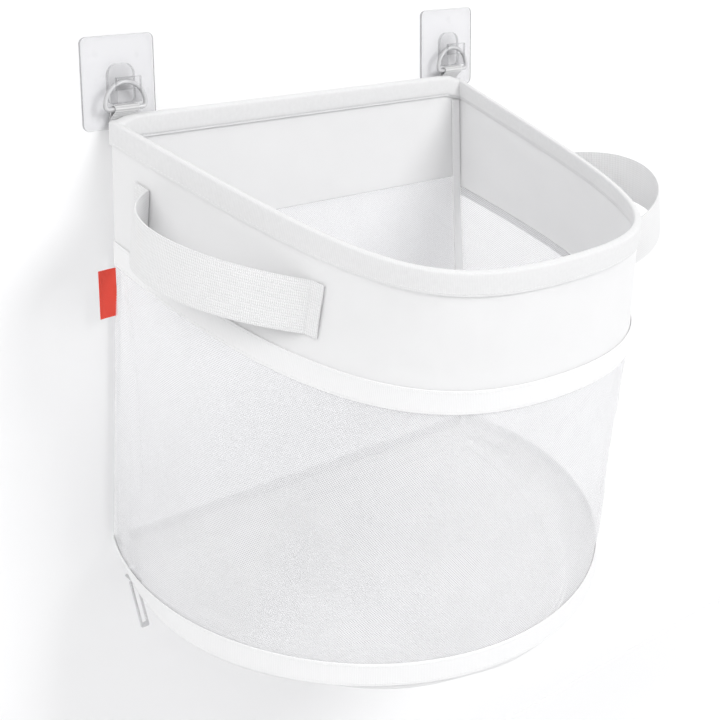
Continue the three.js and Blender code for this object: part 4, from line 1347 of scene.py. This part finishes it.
class ORGANIZER_OT_base(bpy.types.Operator):
    """Curl the base edge under and close it with the base flap"""

    bl_idname = "organizer.base"
    bl_label = "Base"

    def execute(self, context):
        bag, tape, sizes = settings().bag, settings().tape, settings().zip
        plane = ZipPlane()
        top, bottom = -tape.gap / 2, -tape.gap / 2 - bag.cloth_thickness
        rings = self.edge_rings(bag.cloth_thickness, plane, top, bottom)
        cloth("base_edge_cloth", rings, "base_edge", "bottom_binding_tape", held="stretched", closed=True)
        self.flap(bag, tape, sizes, plane, top, bottom)
        turns = steps(-sizes.end_angle, sizes.end_angle, BASE_SEAM)
        off = settings().stitch.edge
        radius, level = sizes.radius + sizes.hem_setback + off, bottom - EDGE_SEAM_RISE - thread_rise()
        stitched("base_edge_stitches", [[plane.point(radius, a, level) for a in turns]])
        radius, level = sizes.radius - sizes.hem_setback - off, bottom - thread_rise()
        stitched("base_flap_stitches", [[plane.point(radius, a, level) for a in turns]], "base_flap")
        return {"FINISHED"}

    def edge_rings(self, thickness, plane, top, bottom):
        wall = BagWall()
        rings = []
        for station in steps(-1, 1, BASE_ROUND):
            outside = base_line(wall, plane, station, 0, bottom)
            inside = base_line(wall, plane, station, thickness, top)
            fade = 1 - smooth(*EDGE_CORNER, abs(station))
            for k in range(SWELL_START + 1, CURL_STEPS):
                swell = math.sin(math.pi * (k - SWELL_START) / (CURL_STEPS - 1)) * fade
                soft = EDGE_SWELL + EDGE_RELIEF * wander(station, k, *EDGE_WAVES)
                out = (outside[k] - inside[k]).normalized() * swell * soft
                outside[k] += out
                inside[k] += out
            rings.append(outside + inside[::-1])
        close_behind(rings)
        return rings

    def flap(self, bag, tape, sizes, plane, top, bottom):
        radius = sizes.radius - sizes.hem_setback
        root, reach = Vector((0, plane.hinge - tape.gap)), plane.end_turn(radius, tape.gap)
        rings = []
        for turn in steps(-reach, reach, FLAP_ROUND):
            border = Vector((radius * math.sin(turn), plane.line - radius * math.cos(turn)))
            outside, inside = [], []
            for k in steps(FLAP_ROOT, 1, FLAP_DEEP):
                at = root.lerp(border, k)
                from_hinge = plane.hinge - at.y
                sag = bag.base_sag * (1 - smooth(*SAG_BORDER, k)) * smooth(*SAG_HINGE, from_hinge)
                soft = FLAP_RELIEF * wander(turn, k, *FLAP_WAVES)
                soft = soft * smooth(*FLAP_HINGE, from_hinge) * (1 - smooth(*FLAP_BORDER, k))
                outside.append(plane.middle @ Vector((at.x, at.y, bottom - sag - soft)))
                inside.append(plane.middle @ Vector((at.x, at.y, top - sag - soft)))
            rings.append(outside + inside[::-1])
        name = "base_flap_cloth"
        flap = sewn(name, rings, "base_flap", "white_fabric", "cloth", "base_panel", guide=FLAP_DEEP)


class ORGANIZER_OT_zip(bpy.types.Operator):
    """Lay the zip's tapes and teeth round the base, with its slider and pull"""

    bl_idname = "organizer.zip"
    bl_label = "Zip"

    def execute(self, context):
        sizes, plane = settings().zip, ZipPlane()
        level, gap = settings().tape.gap / 2, sizes.row_gap / 2
        bag_edge = sizes.radius + sizes.hem_setback - gap * 2
        flap_edge = sizes.radius - gap
        halves = (
            ("bag", "bag", "upper", sizes.radius + gap, bag_edge, 1),
            ("flap", "base_flap", "lower", flap_edge - sizes.tape_reach, flap_edge, -1),
        )
        for name, body, node, inner, outer, side in halves:
            section = strip_section(
                level, level + sizes.tape_thickness, steps(inner, outer, ZIP_ACROSS), round_share=0.2
            )
            turns = steps(-sizes.end_angle, sizes.end_angle, ZIP_ROUND)
            rings = [[plane.point(r, turn, h) for h, r in section] for turn in turns]
            webbing(f"zip_tape_{name}", rings, f"zip_tape_{node}", "zip_tape", body)
            self.teeth(name, body, node, side, sizes, plane, level, gap)
        for side in ("left", "right"):
            refinish(f"zip_end_stop_{side}", "zip")
        moulding("zip_slider", "slider_body", sizes.soft_edge, "zip_slider", "nickel", "nickel")
        moulding("zip_pull", "pull_frame", sizes.soft_edge * PULL_ROUND, "zip_pull", "nickel", "nickel")
        return {"FINISHED"}

    def teeth(self, name, body, node, side, sizes, plane, level, gap):
        """One row of teeth, set half a pitch on for the flap, so that the rows mesh."""
        shift = sizes.tooth_pitch / sizes.radius / 2 if side < 0 else 0
        row = sizes.radius + side * (gap + sizes.tooth_length / 2)
        turns = steps(-sizes.end_angle + shift, sizes.end_angle - shift, TOOTH_ROUND)
        line = [Vector((row * math.sin(a), -row * math.cos(a), 0)) for a in turns]
        beads = sizes.tooth_pitch, sizes.tooth_width, sizes.tooth_length, sizes.tooth_height * TOOTH_TALL
        teeth = repeated(f"zip_teeth_{name}", [line], repeat_tree("Tooth row", tooth=True), beads, "zip")
        down = Matrix.Translation((0, 0, level - sizes.tooth_height * TOOTH_MIDDLE))
        teeth.data.transform(plane.centre @ down)
        dress(teeth, body, "zip_plastic", "zip", f"zip_teeth_{node}")


# Stage

# The wall stands just behind the adhesive, and shows this much of its own light to the camera
WALL_DEPTH = 0.0006
WALL_COLOUR, WALL_GLOW = (0.85, 0.85, 0.855, 1), 0.06

# Each light's name, place and size, and the setting that holds its power
LIGHTS = (
    ("Key light", (0.85, -1.65, 0.95), 1.2, "key_power"),
    ("Fill light", (-1.6, -0.45, 0.9), 1.4, "fill_power"),
    ("Back light", (0.3, 1.8, 0.7), 1.6, "back_power"),
)
BAG_MIDDLE = (0, -0.12, -0.2)
SENSOR_WIDTH = 36


def backdrop_finish():
    """Pale plaster that shows white to the camera, keeps the shadow, and can be seen through from behind."""
    material = bpy.data.materials.new("Pale backdrop")
    material.use_nodes = True
    tree = material.node_tree
    tree.nodes.clear()
    kinds = (
        "BsdfDiffuse", "Emission", "LightPath", "AddShader", "Math", "BsdfTransparent", "MixShader",
        "NewGeometry", "OutputMaterial",
    )
    made = [tree.nodes.new(f"ShaderNode{kind}") for kind in kinds]
    plain, glow, ray, together, level, behind, choice, side, result = made
    plain.inputs["Color"].default_value = WALL_COLOUR
    level.operation = "MULTIPLY"
    level.inputs[1].default_value = WALL_GLOW
    links = [
        (ray, "Is Camera Ray", level, 0),
        (level, 0, glow, "Strength"),
        (plain, 0, together, 0),
        (glow, 0, together, 1),
        (side, "Backfacing", choice, 0),
        (together, 0, choice, 1),
        (behind, 0, choice, 2),
        (choice, 0, result, "Surface"),
    ]
    wire(tree, links)
    return material


def backdrop(name, corners):
    mesh = bpy.data.meshes.new(name)
    mesh.from_pydata(corners, [], [(0, 1, 2, 3)])
    mesh.materials.append(backdrop_finish())
    sheet = linked(name, mesh)
    return sheet


def aimed(thing, place, target):
    """Stands a light or a camera at a place and turns it to its target."""
    thing.location = place
    thing.rotation_euler = (Vector(target) - Vector(place)).to_track_quat("-Z", "Y").to_euler()
    return thing


def soft_light(name, place, size, watts):
    lamp = bpy.data.lights.new(name, "AREA")
    lamp.shape = "DISK"
    lamp.size = size
    lamp.energy = watts
    aimed(linked(name, lamp), place, BAG_MIDDLE)


class ORGANIZER_OT_stage(bpy.types.Operator):
    """Set up the pale wall and floor, the soft lights and the camera"""

    bl_idname = "organizer.stage"
    bl_label = "Stage"

    def execute(self, context):
        scene, look = context.scene, settings().stage
        far, low, back = look.room_size, look.floor_level, WALL_DEPTH
        wall = backdrop("wall", [(-far, back, low), (far, back, low), (far, back, far), (-far, back, far)])
        wall.visible_shadow = False
        wall.visible_diffuse = False
        backdrop("floor", [(-far, -far, low), (far, -far, low), (far, far, low), (-far, far, low)])
        for name, place, size, setting in LIGHTS:
            soft_light(name, place, size, getattr(look, setting))
        self.sky(scene, look)
        camera = bpy.data.cameras.new("Camera")
        camera.lens = look.lens
        camera.sensor_width = SENSOR_WIDTH
        camera.shift_x, camera.shift_y = look.shift
        camera.dof.use_dof = False
        scene.camera = aimed(linked("Camera", camera), look.camera_place, look.camera_target)
        scene.view_settings.view_transform = "Standard"
        return {"FINISHED"}

    def sky(self, scene, look):
        """White where it is seen, straight or in a mirror, and the room's daylight where it lights."""
        world = bpy.data.worlds.new("Pale room")
        world.use_nodes = True
        scene.world = world
        nodes, link = world.node_tree.nodes, world.node_tree.links.new
        background, ray = nodes["Background"], nodes.new("ShaderNodeLightPath")
        background.inputs["Color"].default_value = (1, 1, 1, 1)
        seen = ray.outputs["Is Camera Ray"]
        for kind in ("Is Glossy Ray", "Is Transmission Ray"):
            most = nodes.new("ShaderNodeMath")
            most.operation = "MAXIMUM"
            link(seen, most.inputs[0])
            link(ray.outputs[kind], most.inputs[1])
            seen = most.outputs[0]
        level = nodes.new("ShaderNodeMapRange")
        level.inputs["To Min"].default_value = look.daylight
        level.inputs["To Max"].default_value = 1
        link(seen, level.inputs["Value"])
        link(level.outputs["Result"], background.inputs["Strength"])


# Add-on


class Organizer(bpy.types.PropertyGroup):
    bag: group(BagSizes, "Bag", "Sizes of the bag's cloth and net")
    tape: group(TapeSizes, "Tapes", "Sizes of the bindings and tapes")
    handle: group(HandleSizes, "Handles", "Sizes of the webbing handles")
    hardware: group(HardwareSizes, "Hardware", "Sizes of hooks, rings and loops")
    zip: group(ZipSizes, "Zip", "Sizes of the zip")
    stitch: group(StitchSizes, "Stitches", "Sizes of the stitching")
    finishes: group(Finishes, "Finishes", "Colours of the finishes")
    stage: group(StageSettings, "Stage", "Camera, backdrop and lights")


OPERATORS = (
    ORGANIZER_OT_stage, ORGANIZER_OT_hooks, ORGANIZER_OT_loops, ORGANIZER_OT_tapes, ORGANIZER_OT_band,
    ORGANIZER_OT_net, ORGANIZER_OT_label, ORGANIZER_OT_handles, ORGANIZER_OT_base, ORGANIZER_OT_zip,
)


class ORGANIZER_PT_panel(bpy.types.Panel):
    bl_idname = "ORGANIZER_PT_panel"
    bl_label = "Bath toy organizer"
    bl_space_type = "VIEW_3D"
    bl_region_type = "UI"
    bl_category = "Organizer"

    def draw(self, context):
        for operator in OPERATORS:
            self.layout.operator(operator.bl_idname)


CLASSES = (
    BagSizes, TapeSizes, HandleSizes, HardwareSizes, ZipSizes, StitchSizes, Finishes, StageSettings,
    Organizer, *OPERATORS, ORGANIZER_PT_panel,
)


def register():
    for made in CLASSES:
        bpy.utils.register_class(made)
    bpy.types.Scene.organizer = PointerProperty(type=Organizer)


def unregister():
    del bpy.types.Scene.organizer
    for made in reversed(CLASSES):
        bpy.utils.unregister_class(made)


def main():
    register()
    for operator in OPERATORS:
        prefix, name = operator.bl_idname.split(".")
        getattr(getattr(bpy.ops, prefix), name)()


if __name__ == "__main__":
    main()
